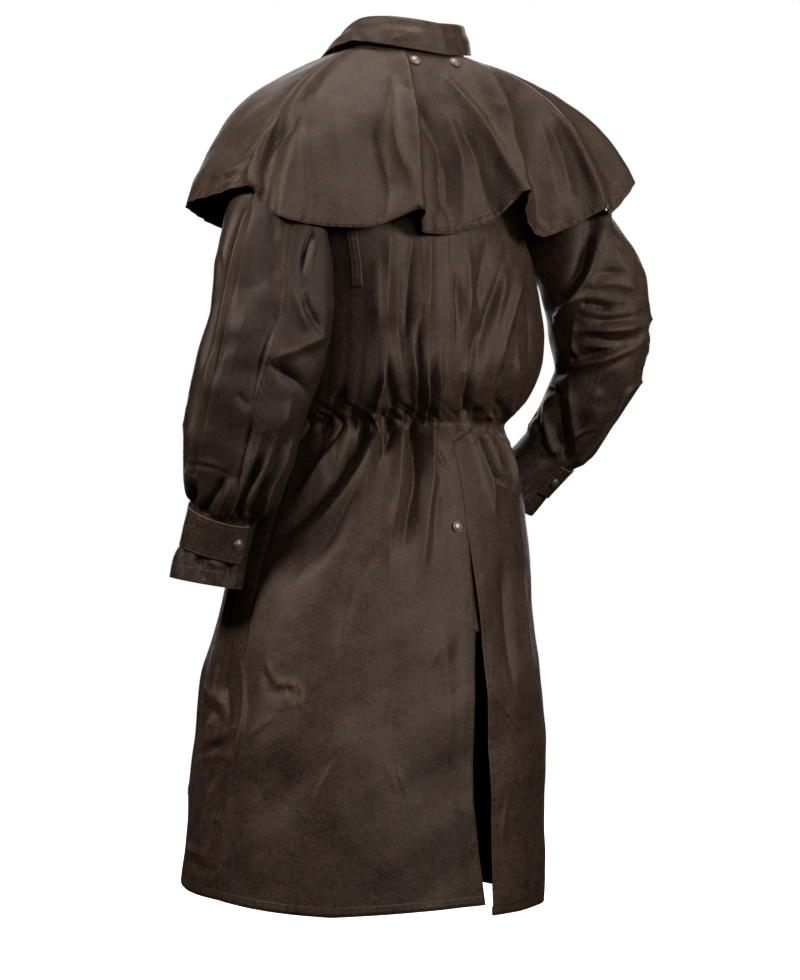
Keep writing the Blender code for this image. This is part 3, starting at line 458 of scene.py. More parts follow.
# Studio: each light's place across, towards the camera and up, its size, and its power
LIGHTS = (
    ("key", -2.2, 1.5, 1.4, 0.6, 0.7, 86.0),
    ("fill", 2.6, 1.5, 0.5, 0.6, 0.9, 62.0),
    ("front", 1.0, 3.1, 0.5, 1.2, 1.2, 21.0),
    ("top", 0.2, 0.0, 2.0, 1.0, 0.8, 38.0),
    ("back", 0.0, -2.6, 0.4, 3.0, 2.4, 80.0),
)
LIGHT_AIM = -0.50
FLOOR_LEVEL = -1.42
FLOOR_HALF = 60.0
FLOOR_GLOW = 1.0
FLOOR_ROUGH = 0.8

# Creases of the body that the photograph shows: the blouse above the waist's cord
BLOUSE_CREASES = (
    (-7.0, 9, 9, 0, 0, 0.0, (508, 236), (497, 290), (484, 345), (470, 400)),
    (6.0, 8, 8, 0, 0, 0.15, (524, 250), (513, 305), (503, 350), (492, 405)),
    (5.0, 7, 7, 0, 0, 0.1, (468, 240), (470, 290), (466, 340)),
    (-5.0, 6, 6, 0, 0, 0.0, (456, 262), (459, 310), (457, 360)),
    (-6.0, 9, 9, 0.3, 0, 0.0, (413, 238), (410, 300), (408, 360)),
    (5.0, 8, 8, 0.3, 0, 0.1, (430, 240), (428, 300), (424, 352)),
    (5.0, 8, 8, 0.3, 0, 0.1, (389, 240), (388, 290), (386, 340)),
    (-5.8, 6, 6, 1, 0, 0.0, (322, 425), (335, 405), (347, 380)),
    (5.8, 4, 5, 0, 0, 0.3, (309, 397), (317, 415), (323, 433)),
    (-3.5, 4, 4, 1, 0, 0.0, (354, 430), (353, 415), (355, 402)),
    (7.2, 6, 7, 1, 0, 0.2, (370, 430), (376, 405), (385, 377), (388, 330)),
    (-8.7, 7, 6, 1, 0, 0.0, (392, 425), (394, 405), (390, 380), (389, 335)),
    (-7.2, 15, 12, 0, 0, 0.0, (400, 236), (401, 320), (401, 405)),
    (5.8, 4, 5, 1, 0, 0.2, (416, 424), (415, 400), (414, 365), (412, 315)),
    (-9.4, 4, 4, 1, 0, 0.0, (419, 430), (420, 400), (421, 360), (422, 300)),
    (5.8, 4, 4, 1, 0, 0.2, (425, 422), (427, 395), (428, 350)),
    (-5.8, 4, 4, 1, 0, 0.0, (431, 422), (432, 390), (436, 345)),
    (4.3, 6, 5, 1, 0, 0.1, (438, 420), (439, 380), (440, 330)),
    (5.8, 6, 7, 1, 0, 0.2, (461, 408), (467, 370), (474, 335)),
    (-10.9, 9, 7, 1, 0, 0.0, (467, 412), (470, 380), (478, 350), (486, 312)),
    (-4.3, 8, 8, 1, 0, 0.0, (496, 416), (500, 385), (506, 345)),
    (5.1, 8, 8, 1, 0, 0.1, (506, 417), (513, 385), (517, 340)),
    (5.8, 12, 12, 0, 0, 0.1, (505, 250), (500, 300), (494, 345)),
    (-5.8, 12, 12, 0, 0, 0.0, (487, 236), (483, 280), (480, 330)),
    (5.1, 12, 12, 0, 0, 0.1, (376, 250), (378, 300), (378, 350)),
    (-4.3, 4, 4, 1, 0, 0.0, (382, 432), (384, 420), (383, 408)),
    (-3.6, 3, 3, 1, 0, 0.0, (406, 428), (407, 416), (406, 405)),
    (-2.9, 8, 8, 0, 0, 0.0, (528, 300), (530, 340), (524, 380)),
)

# The skirt: folds that the cord starts, and long soft ones below
SKIRT_CREASES = (
    (-10.8, 11, 8, 0.8, 0, 0.0, (363, 431), (346, 461), (320, 495), (292, 524), (262, 546)),
    (6.0, 9, 10, 0.5, 0, 0.1, (341, 432), (322, 465), (300, 495), (272, 524)),
    (6.0, 11, 9, 0.6, 0, 0.2, (373, 438), (352, 478), (322, 518), (288, 543), (256, 560)),
    (-7.2, 12, 12, 0.3, 0, 0.0, (370, 452), (353, 492), (334, 530), (302, 572), (275, 602)),
    (6.6, 6, 6, 0.6, 0, 0.2, (371, 414), (379, 430), (384, 450), (374, 472)),
    (-6.6, 5, 6, 1, 0, 0.0, (394, 431), (386, 450), (377, 470)),
    (-10.8, 9, 11, 1, 0, 0.0, (418, 430), (419, 470), (412, 515), (400, 562)),
    (5.4, 10, 9, 1, 0, 0.1, (402, 430), (399, 480), (389, 535), (390, 590)),
    (4.8, 9, 8, 1, 0, 0.1, (432, 430), (432, 480), (426, 530), (418, 600)),
    (-6.0, 14, 14, 0.2, 0, 0.0, (383, 540), (362, 575), (347, 610), (337, 665)),
    (-3.0, 4, 4, 0.3, 0, 0.2, (434, 446), (443, 459), (452, 475)),
    (-2.4, 3, 4, 0.3, 0, 0.2, (429, 452), (437, 466), (444, 482)),
    (-9.6, 7, 9, 1, 0, 0.0, (477, 414), (487, 441), (499, 471), (512, 505), (520, 532)),
    (5.4, 6, 6, 1, 0, 0.3, (490, 416), (505, 446), (515, 480), (522, 520)),
    (5.4, 7, 7, 1, 0, 0.2, (470, 426), (481, 455), (491, 488), (498, 530)),
    (-3.6, 10, 10, 0.2, 0, 0.0, (440, 470), (437, 520), (430, 575)),
    (-4.8, 12, 12, 0, 0, 0.0, (503, 545), (509, 630), (514, 710)),
    (4.8, 14, 14, 0, 0, 0.1, (520, 560), (528, 650), (530, 740)),
    (-4.2, 22, 22, 0, 0, 0.0, (404, 630), (393, 720), (392, 820)),
    (4.8, 24, 24, 0, 0, 0.0, (440, 600), (446, 700), (446, 800)),
    (4.8, 22, 22, 0, 0, 0.0, (350, 700), (338, 780), (336, 860)),
    (-3.6, 20, 20, 0, 0, 0.0, (290, 740), (284, 800), (286, 870)),
    (1.9, 2.5, 3, 0.4, 0.2, 0.5, (495, 696), (508, 712), (522, 730)),
    (-2.2, 4, 4, 0.4, 0.2, 0.0, (494, 701), (507, 717), (521, 735)),
    (1.6, 3, 3, 0, 0, 0.35, (383, 757), (392, 775), (400, 802)),
    (1.4, 3, 3, 0, 0, 0.3, (394, 766), (405, 790), (412, 816)),
    (1.6, 3, 3, 0, 0, 0.3, (337, 760), (319, 785), (308, 814)),
    (1.4, 3, 3, 0, 0, 0.25, (243, 742), (262, 724), (283, 717)),
    (1.2, 3, 3, 0, 0, 0.25, (440, 640), (430, 668), (428, 700)),
    (1.4, 4, 3, 0, 0, 0.25, (508, 790), (503, 830), (505, 868)),
)

# A rubbed, crumpled patch on the skirt, and the crumples beside the left side seam
WORN_CREASES = (
    (1.3, 2.4, 2.4, 0.3, 0.6, 0.8, (267, 664), (272, 675), (279, 684)),
    (1.8, 3.0, 2.4, 0.6, 0.7, 1.0, (279, 684), (290, 682), (301, 687)),
    (1.3, 2.0, 2.0, 0.8, 0.3, 1.0, (283, 686), (285, 692), (290, 699)),
    (1.2, 2.0, 2.0, 0.8, 0.3, 1.0, (292, 684), (296, 691), (297, 699)),
    (1.4, 2.2, 2.2, 0.8, 0.5, 1.0, (300, 687), (304, 695), (302, 706)),
    (0.8, 2.0, 2.0, 0.5, 0.5, 0.9, (286, 700), (293, 704), (301, 700)),
    (-1.8, 5.0, 5.0, 0.5, 0.5, 0.0, (276, 692), (288, 692), (299, 693)),
    (-1.6, 5.0, 5.0, 0.5, 0.5, 0.0, (262, 668), (268, 684), (278, 700)),
    (5.1, 5, 6, 0.5, 0.2, 0.4, (219, 668), (214, 700), (210, 726), (198, 762)),
    (3.8, 4, 5, 0.6, 0.4, 0.3, (243, 664), (244, 700), (243, 724), (235, 765), (226, 802)),
    (-6.4, 6, 7, 0.5, 0.3, 0.0, (233, 652), (223, 690), (228, 720), (215, 745), (205, 772)),
    (3.4, 4, 4, 0.5, 0.3, 0.3, (236, 726), (217, 734), (200, 746)),
    (3.4, 4, 4, 0.5, 0.3, 0.3, (233, 757), (212, 755), (195, 764)),
    (-3.8, 5, 5, 0.3, 0.3, 0.0, (234, 741), (216, 745), (201, 756)),
    (4.2, 4, 5, 0.3, 0.2, 0.35, (216, 772), (208, 800), (200, 832)),
    (-4.6, 5, 5, 0.3, 0.2, 0.0, (223, 795), (213, 825), (205, 853)),
    (2.9, 3, 3, 0.5, 0.3, 0.4, (186, 846), (200, 852), (214, 858)),
    (2.6, 3, 3, 0.3, 0.3, 0.4, (225, 858), (215, 875), (203, 886)),
    (-3.4, 5, 5, 0.3, 0.3, 0.0, (190, 860), (203, 868), (216, 872)),
    (3.8, 5, 5, 0.5, 0.3, 0.3, (206, 690), (219, 702), (232, 712)),
    (-3.8, 5, 5, 0.5, 0.3, 0.0, (205, 705), (216, 716), (226, 728)),
)

# The left sleeve: its sharp outer edge, a painted highlight along its outer face, the slit-like
# creases below the cape, the folds at the bend of the arm and the pleats that run down to the strap
LEFT_SLEEVE_CREASES = (
    (8.0, 18, 6, 0.8, 0.6, 0.30, (246, 214), (230, 285), (212, 365), (199, 425), (190, 474)),
    (-5.0, 8, 8, 0.6, 0.4, 0.0, (236, 214), (219, 285), (203, 365), (192, 425)),
    (-4.0, 3.5, 3.5, 0.7, 0.4, 0.0, (252, 214), (236, 285), (218, 365), (205, 425), (196, 474)),
    # Almost no rise, only lighter rubbed colour: a painted highlight along the sleeve's lit outer face
    (0.1, 15, 15, 1, 1, 0.42, (233, 216), (222, 285), (206, 365), (191, 430)),
    (3.0, 5, 5, 0.5, 0.3, 0.3, (226, 232), (222, 262), (220, 290)),
    (-5.5, 3.0, 2.4, 0.5, 0.5, 0.0, (311, 231), (304, 258), (301, 286)),
    (3.0, 5, 3.0, 0.5, 0.3, 0.2, (316, 236), (310, 262), (307, 290)),
    (-2.6, 4, 4, 0.3, 0, 0.0, (307, 282), (307, 300), (308, 322)),
    (-3.0, 4, 4, 0.5, 0, 0.0, (272, 226), (277, 248), (287, 263)),
    (-3.0, 5, 5, 0.3, 0, 0.0, (267, 262), (276, 280), (286, 302)),
    (-4.0, 6, 6, 0.3, 0, 0.0, (302, 296), (315, 318), (324, 342)),
    (3.5, 7, 7, 0.3, 0, 0.1, (292, 290), (303, 315), (310, 338)),
    (-3.5, 4, 3.0, 0.5, 0.3, 0.1, (276, 318), (264, 350), (253, 392), (245, 430)),
    (2.5, 5, 5, 0.5, 0.2, 0.2, (281, 320), (269, 352), (259, 392)),
    (5.0, 9, 7, 0.7, 0, 0.2, (322, 336), (305, 345), (286, 353), (268, 362)),
    (-5.0, 6, 6, 0.5, 0, 0.0, (270, 366), (284, 374), (298, 384), (309, 398)),
    (4.0, 8, 8, 0.3, 0, 0.1, (292, 392), (284, 420), (272, 448)),
    (-5.0, 7, 7, 0.3, 0.5, 0.0, (258, 402), (248, 440), (240, 480), (236, 512)),
    (5.5, 5, 6, 0.2, 0.9, 0.3, (262, 430), (252, 462), (240, 492), (232, 513)),
    (-7.0, 5, 5, 0.2, 1, 0.0, (266, 440), (254, 470), (244, 494), (237, 514)),
    (5.5, 5, 5, 0.2, 0.9, 0.3, (276, 440), (264, 468), (251, 495), (241, 514)),
    (-7.5, 5, 5, 0.2, 1, 0.0, (284, 445), (271, 476), (258, 500), (250, 514)),
    (5.0, 4, 5, 0.3, 1, 0.4, (292, 445), (280, 472), (268, 494), (260, 512)),
    (-5.0, 6, 6, 0.2, 1, 0.0, (226, 474), (214, 497), (205, 511)),
    (4.0, 6, 6, 0.2, 1, 0.1, (236, 470), (226, 495), (219, 512)),
    (-4.0, 5, 5, 0.2, 1, 0.0, (200, 478), (194, 495), (190, 508)),
    (1.2, 2.5, 2.0, 0.6, 0.4, 0.35, (192, 459), (212, 463), (234, 474)),
    (-1.6, 4, 3, 0.5, 0.4, 0.0, (192, 464), (212, 468), (233, 478)),
    (-3.5, 5, 5, 1, 0.4, 0.0, (199, 554), (200, 565), (203, 578)),
    (-3.5, 5, 5, 1, 0.4, 0.0, (232, 556), (230, 567), (229, 580)),
    (3.0, 6, 6, 1, 0.4, 0.1, (216, 555), (215, 566), (214, 580)),
    (-3.0, 5, 5, 0, 0, 0.0, (236, 392), (242, 402), (251, 408)),
    (3.0, 14, 14, 0, 0, 0.0, (250, 300), (238, 350), (226, 410)),
)

# The right sleeve: the deep fold at the armhole, the slot and the creases that run together at
# the elbow, and the crumpled inside of the forearm
RIGHT_SLEEVE_CREASES = (
    (8.0, 7, 6, 0.8, 0.6, 0.3, (603, 216), (596, 250), (588, 276), (573, 300), (556, 318)),
    (-10.3, 6, 9, 0.8, 0.5, 0.0, (595, 216), (587, 250), (578, 274), (562, 298)),
    (-8.6, 3.6, 3.0, 0.6, 0.4, 0.0, (585, 303), (603, 306), (624, 306)),
    (4.6, 5, 4, 0.6, 0, 0.3, (560, 308), (575, 299), (590, 296), (612, 298)),
    (-3.4, 6, 6, 0.3, 0, 0.0, (594, 273), (612, 272), (636, 277)),
    (3.4, 6, 6, 0.3, 0, 0.1, (592, 284), (614, 284), (642, 291)),
    (-5.2, 5, 5, 0.4, 0.3, 0.0, (580, 314), (604, 322), (630, 318), (650, 312)),
    (5.8, 6, 5, 0.4, 0.4, 0.2, (576, 330), (600, 330), (626, 328), (651, 319)),
    (-5.8, 4, 4, 0.3, 0.3, 0.0, (590, 338), (612, 341), (646, 331)),
    (4.6, 4, 4, 0.3, 0.3, 0.2, (583, 346), (610, 346), (645, 336)),
    (-8.0, 5, 5, 0.6, 0.3, 0.0, (574, 359), (598, 353), (617, 346), (638, 340)),
    (5.8, 7, 6, 0.5, 0.2, 0.2, (574, 368), (604, 359), (626, 350), (643, 342)),
    (-2.9, 5, 5, 0.3, 0, 0.0, (588, 376), (615, 363), (639, 350)),
    (3.4, 5, 4, 0.6, 0.5, 0.3, (574, 328), (573, 345), (578, 358)),
    (-6.9, 6, 6, 0.6, 0.3, 0.0, (570, 372), (556, 372), (545, 368)),
    (-9.2, 8, 7, 0.3, 0.8, 0.0, (556, 396), (558, 420), (563, 440), (566, 458)),
    (4.6, 7, 6, 0.3, 0.4, 0.1, (570, 384), (570, 410), (574, 436)),
    (5.8, 5, 5, 0.4, 0.6, 0.2, (545, 402), (547, 425), (553, 450)),
    (-6.9, 5, 5, 0.4, 0.8, 0.0, (536, 412), (540, 436), (547, 460)),
    (4.6, 4, 4, 0.4, 0.6, 0.2, (530, 425), (534, 445), (540, 470)),
    (-4.6, 4, 4, 0.4, 0.6, 0.0, (549, 388), (556, 392), (562, 396)),
    (2.1, 2.4, 2.4, 0.6, 0.5, 0.6, (564, 455), (569, 441), (579, 432), (592, 428)),
    (-2.9, 5, 3, 0.6, 0.4, 0.0, (568, 457), (574, 444), (584, 437), (594, 433)),
    (4.6, 4, 3, 0.6, 0.8, 0.5, (641, 382), (627, 391), (611, 420), (595, 442), (579, 460)),
    (-5.2, 4, 5, 0.6, 0.8, 0.0, (643, 390), (631, 402), (616, 426), (600, 446), (586, 461)),
    (3.4, 14, 14, 0, 0, 0.0, (604, 230), (622, 262), (640, 300)),
    (3.4, 10, 10, 0, 0, 0.0, (600, 385), (592, 405), (584, 425)),
)

# The cape: ridges that run from the neck to the flutes and the soft hollows between them
CAPE_RIDGES = (
    (-4.0, 55, 55, 0, 0.3, 0.0, (268, 110), (240, 148), (215, 182)),
    (-3.0, 9, 7, 0.2, 0.5, 0.0, (303, 98), (306, 140), (312, 200)),
    (-5.0, 14, 12, 0, 0.4, 0.0, (304, 108), (280, 135), (262, 165)),
    (6.0, 9, 7, 0, 0.9, 0.25, (282, 112), (262, 140), (252, 165), (252, 184)),
    (2.4, 3, 3, 0.6, 0.2, 0.4, (257, 149), (238, 165), (214, 173)),
    (2.4, 3, 3, 0.6, 0.2, 0.4, (250, 165), (228, 182), (206, 190)),
    (-2.6, 5, 5, 0.5, 0.2, 0.0, (254, 157), (234, 174), (210, 182)),
    (-2.6, 4, 4, 0.5, 0.2, 0.0, (270, 120), (256, 140), (243, 158)),
    (-6.0, 16, 15, 0, 0.7, 0.0, (366, 116), (381, 145), (388, 178), (386, 216)),
    (7.0, 9, 9, 0.2, 1, 0.25, (392, 80), (397, 115), (403, 150), (412, 178), (420, 205)),
    (-8.0, 15, 10, 0.5, 0.8, 0.0, (402, 82), (421, 114), (440, 155), (447, 205)),
    (4.0, 14, 14, 0, 0.6, 0.1, (432, 95), (452, 130), (462, 175), (464, 215)),
    (-5.0, 13, 13, 0, 0.6, 0.0, (452, 112), (472, 150), (484, 190), (488, 205)),
    (7.0, 9, 9, 0.4, 1, 0.25, (447, 80), (472, 109), (497, 146), (515, 174), (526, 190)),
    (-7.0, 15, 10, 0, 0.8, 0.0, (498, 100), (522, 140), (535, 180), (541, 220)),
    (3.0, 13, 13, 0, 0.5, 0.1, (536, 112), (548, 150), (556, 195)),
    (-4.5, 12, 12, 0, 0.6, 0.0, (548, 120), (562, 152), (574, 195)),
    (5.0, 9, 8, 0, 0.9, 0.2, (552, 108), (574, 136), (590, 170), (604, 206)),
    (-4.0, 9, 9, 0, 0.5, 0.0, (588, 146), (604, 168), (616, 188)),
    (4.0, 20, 20, 0, 0.4, 0.05, (336, 90), (338, 140), (342, 200)),
    (1.4, 3, 3, 0.2, 0, 0.3, (470, 90), (500, 104), (530, 110)),
)

# Soft bends of the collar's fall, beside its roll at the left
COLLAR_BENDS = (
    (-2.0, 5, 5, 0.5, 0, 0.1, (357, 36), (364, 43), (376, 50)),
    (-1.6, 5, 5, 0.5, 0, 0.1, (336, 54), (350, 47), (360, 45)),
    (1.5, 5, 4, 0.4, 0, 0.2, (345, 40), (356, 48), (372, 56)),
    (-1.4, 7, 7, 0, 0, 0.0, (420, 34), (424, 48), (428, 60)),
    (1.2, 8, 8, 0, 0, 0.1, (396, 32), (398, 44), (396, 55)),
)

# Similar creases of the sides that the photograph doesn't show: the front, a side, the outer
# and inner side of each sleeve, and the cape
FRONT_CREASES = (
    (-6.0, 8, 7, 1, 0, 0.0, (352, 430), (350, 390), (356, 340)),
    (5.0, 6, 7, 1, 0, 0.15, (366, 428), (368, 385), (378, 330)),
    (-5.0, 7, 6, 1, 0, 0.0, (330, 428), (322, 392), (318, 350)),
    (4.0, 6, 6, 1, 0, 0.15, (310, 428), (304, 400), (300, 370)),
    (-6.5, 8, 7, 1, 0, 0.0, (446, 430), (452, 385), (448, 335)),
    (5.0, 6, 7, 1, 0, 0.15, (462, 428), (470, 380), (466, 330)),
    (-5.0, 6, 7, 1, 0, 0.0, (480, 428), (490, 396), (494, 352)),
    (4.0, 6, 6, 1, 0, 0.15, (500, 428), (508, 400), (512, 360)),
    (-7.0, 9, 10, 1, 0, 0.0, (350, 430), (346, 490), (352, 560)),
    (5.0, 9, 9, 1, 0, 0.1, (370, 430), (366, 500), (362, 590)),
    (-6.0, 9, 8, 1, 0, 0.0, (322, 432), (308, 480), (300, 545)),
    (5.0, 8, 8, 1, 0, 0.1, (300, 432), (284, 480), (276, 540)),
    (-7.0, 9, 9, 1, 0, 0.0, (450, 430), (456, 490), (450, 570)),
    (5.0, 9, 9, 1, 0, 0.1, (470, 430), (480, 500), (478, 590)),
    (-6.0, 9, 9, 1, 0, 0.0, (496, 432), (512, 490), (518, 560)),
    (-4.0, 22, 22, 0, 0, 0.0, (360, 600), (352, 700), (350, 820)),
    (4.0, 22, 22, 0, 0, 0.0, (330, 620), (316, 720), (312, 850)),
    (4.0, 22, 22, 0, 0, 0.0, (450, 610), (462, 720), (466, 850)),
    (-4.0, 22, 22, 0, 0, 0.0, (490, 620), (500, 720), (504, 850)),
    (2.0, 4, 4, 0.5, 0.3, 0.4, (300, 660), (312, 672), (330, 668)),
    (2.0, 3, 4, 0.5, 0.3, 0.4, (470, 742), (486, 756), (500, 750)),
)
SIDE_CREASES = (
    (-3.8, 7, 6, 1, 0, 0.0, (400, 430), (404, 392), (398, 345)),
    (3.4, 6, 6, 1, 0, 0.15, (418, 430), (424, 396), (420, 350)),
    (-3.8, 7, 6, 1, 0, 0.0, (380, 430), (372, 396), (376, 352)),
    (3.0, 6, 6, 1, 0, 0.1, (352, 430), (346, 400), (350, 360)),
    (-6.0, 9, 10, 1, 0, 0.0, (402, 430), (408, 478), (400, 545), (396, 600)),
    (3.8, 8, 9, 1, 0, 0.15, (420, 430), (430, 480), (428, 560)),
    (-4.5, 9, 9, 1, 0, 0.0, (376, 430), (368, 480), (356, 540), (350, 600)),
    (3.8, 9, 9, 1, 0, 0.1, (352, 431), (340, 480), (330, 560)),
    (-3.0, 22, 22, 0, 0, 0.0, (390, 600), (384, 700), (388, 830)),
    (3.0, 24, 24, 0, 0, 0.0, (430, 620), (436, 720), (438, 850)),
    (3.0, 22, 22, 0, 0, 0.0, (340, 610), (330, 720), (330, 850)),
    (1.5, 4, 4, 0.5, 0.3, 0.4, (350, 690), (364, 700), (380, 694)),
    (1.4, 3, 3, 0.5, 0.3, 0.4, (410, 800), (424, 812), (440, 806)),
)
LEFT_OUTER_CREASES = (
    (-2.0, 6, 6, 0.5, 0, 0.0, (520, 300), (532, 340), (548, 362)),
    (2.2, 7, 7, 0.4, 0, 0.2, (512, 372), (532, 384), (556, 380)),
    (-2.5, 6, 6, 0.5, 0, 0.0, (514, 392), (536, 404), (562, 396)),
    (1.8, 6, 6, 0.4, 0, 0.15, (516, 414), (538, 424), (560, 420)),
    (-3.0, 5, 5, 0.2, 1, 0.0, (524, 450), (520, 480), (517, 512)),
    (2.5, 5, 5, 0.2, 1, 0.3, (536, 446), (531, 480), (526, 512)),
    (-3.0, 5, 5, 0.2, 1, 0.0, (548, 450), (541, 484), (534, 512)),
)
LEFT_INNER_CREASES = (
    (-4.0, 6, 6, 0.5, 0, 0.0, (490, 330), (508, 350), (530, 352)),
    (4.0, 6, 6, 0.4, 0, 0.2, (494, 376), (514, 388), (540, 384)),
    (-5.0, 6, 6, 0.4, 0, 0.0, (500, 400), (520, 412), (548, 404)),
    (-6.0, 5, 5, 0.2, 1, 0.0, (526, 452), (534, 482), (541, 510)),
    (5.0, 5, 5, 0.2, 1, 0.25, (538, 450), (544, 480), (549, 508)),
    (-6.0, 5, 5, 0.2, 1, 0.0, (550, 450), (553, 480), (556, 508)),
)
RIGHT_OUTER_CREASES = (
    (-2.0, 6, 6, 0.4, 0, 0.0, (470, 300), (488, 310), (512, 304)),
    (2.0, 6, 6, 0.4, 0, 0.2, (472, 326), (492, 334), (518, 322)),
    (-2.0, 6, 6, 0.4, 0, 0.0, (478, 350), (498, 356), (524, 342)),
    (1.6, 6, 6, 0.4, 0, 0.15, (484, 372), (504, 378), (530, 364)),
    (-1.8, 4, 4, 0.3, 0.8, 0.0, (512, 410), (520, 436), (524, 456)),
    (1.6, 4, 4, 0.3, 0.8, 0.2, (524, 410), (530, 436), (532, 456)),
)
RIGHT_INNER_CREASES = (
    (-6.0, 7, 6, 0.5, 0.3, 0.0, (170, 330), (188, 344), (206, 350)),
    (5.0, 6, 6, 0.5, 0.3, 0.2, (170, 352), (188, 362), (210, 366)),
    (-5.0, 6, 6, 0.5, 0.3, 0.0, (176, 378), (196, 386), (216, 382)),
    (-5.0, 4, 4, 0.3, 0.8, 0.0, (200, 400), (218, 430), (232, 452)),
    (4.5, 4, 4, 0.3, 0.8, 0.2, (212, 396), (230, 424), (242, 448)),
    (-4.0, 8, 8, 0.3, 0, 0.0, (186, 232), (180, 260), (176, 290)),
    (3.5, 8, 8, 0.3, 0, 0.1, (200, 236), (196, 264), (192, 300)),
)
CAPE_SIDE_RIDGES = (
    (5.0, 10, 9, 0, 0.8, 0.2, (350, 110), (330, 150), (318, 195)),
    (-5.0, 14, 13, 0, 0.6, 0.0, (372, 115), (362, 155), (356, 205)),
    (5.0, 10, 9, 0, 0.8, 0.2, (430, 110), (446, 150), (456, 195)),
    (-5.0, 14, 13, 0, 0.6, 0.0, (408, 115), (412, 155), (414, 205)),
)

# Which creases each part of the coat has, and the azimuth from which they are placed
FRONT_AZIMUTH, LEFT_AZIMUTH, RIGHT_AZIMUTH = 0.0, 50.0, 230.0
FRONT_RIGHT_AZIMUTH, OPPOSITE_AZIMUTH = 280.0, 320.0
BODY_CREASES = ((CAMERA_AZIMUTH, BLOUSE_CREASES + SKIRT_CREASES + WORN_CREASES),
                (FRONT_AZIMUTH, FRONT_CREASES), (LEFT_AZIMUTH, SIDE_CREASES),
                (FRONT_RIGHT_AZIMUTH, SIDE_CREASES))
SLEEVE_CREASES = {
    "left": ((CAMERA_AZIMUTH, LEFT_SLEEVE_CREASES), (LEFT_AZIMUTH, LEFT_OUTER_CREASES),
             (OPPOSITE_AZIMUTH, LEFT_INNER_CREASES)),
    "right": ((CAMERA_AZIMUTH, RIGHT_SLEEVE_CREASES), (RIGHT_AZIMUTH, RIGHT_OUTER_CREASES),
              (OPPOSITE_AZIMUTH, RIGHT_INNER_CREASES)),
}
CAPE_CREASES = ((CAMERA_AZIMUTH, CAPE_RIDGES), (LEFT_AZIMUTH, CAPE_SIDE_RIDGES),
                (OPPOSITE_AZIMUTH, CAPE_SIDE_RIDGES))
COLLAR_CREASES = ((CAMERA_AZIMUTH, COLLAR_BENDS),)


def unit(vectors):
    """Vectors scaled to length one along the last axis."""
    lengths = np.linalg.norm(vectors, axis=-1, keepdims=True)
    return vectors / np.maximum(lengths, 1e-12)


def smooth(low, high, value):
    """Rises smoothly from 0 to 1 while the value goes from low to high."""
    t = np.clip((value - low) / (high - low), 0.0, 1.0)
    return t * t * (3 - 2 * t)


def curve(places, values, at):
    """A smooth curve through rows of values, read at an array of places."""
    places = np.asarray(places, dtype=float)
    values = np.asarray(values, dtype=float)
    at = np.asarray(at, dtype=float)
    slopes = np.gradient(values, places, axis=0)
    index = np.clip(np.searchsorted(places, at) - 1, 0, len(places) - 2)
    span = places[index + 1] - places[index]
    t = np.clip((at - places[index]) / span, 0.0, 1.0)
    if values.ndim > 1:
        span, t = span[..., None], t[..., None]
    start = (1 + 2 * t) * (1 - t) ** 2 * values[index] + t * (1 - t) ** 2 * span * slopes[index]
    end = t * t * (3 - 2 * t) * values[index + 1] - t * t * (1 - t) * span * slopes[index + 1]
    return start + end


def read_table(table, column, at):
    """A column of a table, read straight between the rows of its first column."""
    rows = sorted(table)
    return np.interp(at, [row[0] for row in rows], [row[column] for row in rows])


def between(limits, value):
    """Rises smoothly from 0 to 1 between a pair of limits."""
    return smooth(*limits, value)


def ridged(points, size, seed):
    """Smooth uneven values from about -1 to 1 over places in space, repeatable."""
    random = np.random.default_rng(seed)
    total = np.zeros(points.shape[:-1])
    for _ in range(SLACK_WAVES):
        way = random.normal(size=3)
        way *= random.uniform(0.5, 1.6) / np.linalg.norm(way)
        bend = random.normal(size=3) * 0.5
        phase = random.uniform(0, 2 * math.pi)
        wander = np.sin(points @ (bend / size * 2) + phase * 3)
        total += np.sin(points @ (way / size * 2 * math.pi) + phase + 1.3 * wander)
    return total / SLACK_EVEN


def slackness(points, waves):
    """The sum of uneven waves, each with its size, depth and seed."""
    return sum(ridged(points, size, seed) * depth for size, depth, seed in waves)


def grid_normals(grid, closed=False):
    """Outward directions at each point of a grid of rows and columns."""
    if closed:
        padded = np.concatenate((grid[:, -1:], grid, grid[:, :1]), axis=1)
        across = padded[:, 2:] - padded[:, :-2]
    else:
        across = np.gradient(grid, axis=1)
    along = np.gradient(grid, axis=0)
    return unit(np.cross(unit(across), unit(along)))


def ring_at(height):
    """The body's ring at heights, as rows of the same columns as the table."""
    return curve([row[RING_HEIGHT] for row in BODY_RINGS], BODY_RINGS, height)


def ring_place(turn, height):
    """Points of the plain body at turns and heights, before pleats and folds."""
    ring = ring_at(height)
    angle = turn * math.pi / 2
    power = 2 / ring[..., RING_SQUARE]
    across = np.sign(np.sin(angle)) * np.abs(np.sin(angle)) ** power
    deep = np.sign(np.cos(angle)) * np.abs(np.cos(angle)) ** power
    x = across * np.where(across > 0, ring[..., RING_LEFT], ring[..., RING_RIGHT])
    y = deep * np.where(deep > 0, ring[..., RING_BACK], ring[..., RING_FRONT])
    return np.stack((x, y, height + np.zeros_like(x)), axis=-1)


def turn_at(x, height):
    """The turns near the centre back that lie at places across."""
    ring = ring_at(height)
    half = np.where(x > 0, ring[..., RING_LEFT], ring[..., RING_RIGHT])
    angle = np.arcsin((np.abs(x) / half) ** (ring[..., RING_SQUARE] / 2))
    return np.copysign(angle * 2 / math.pi, x)


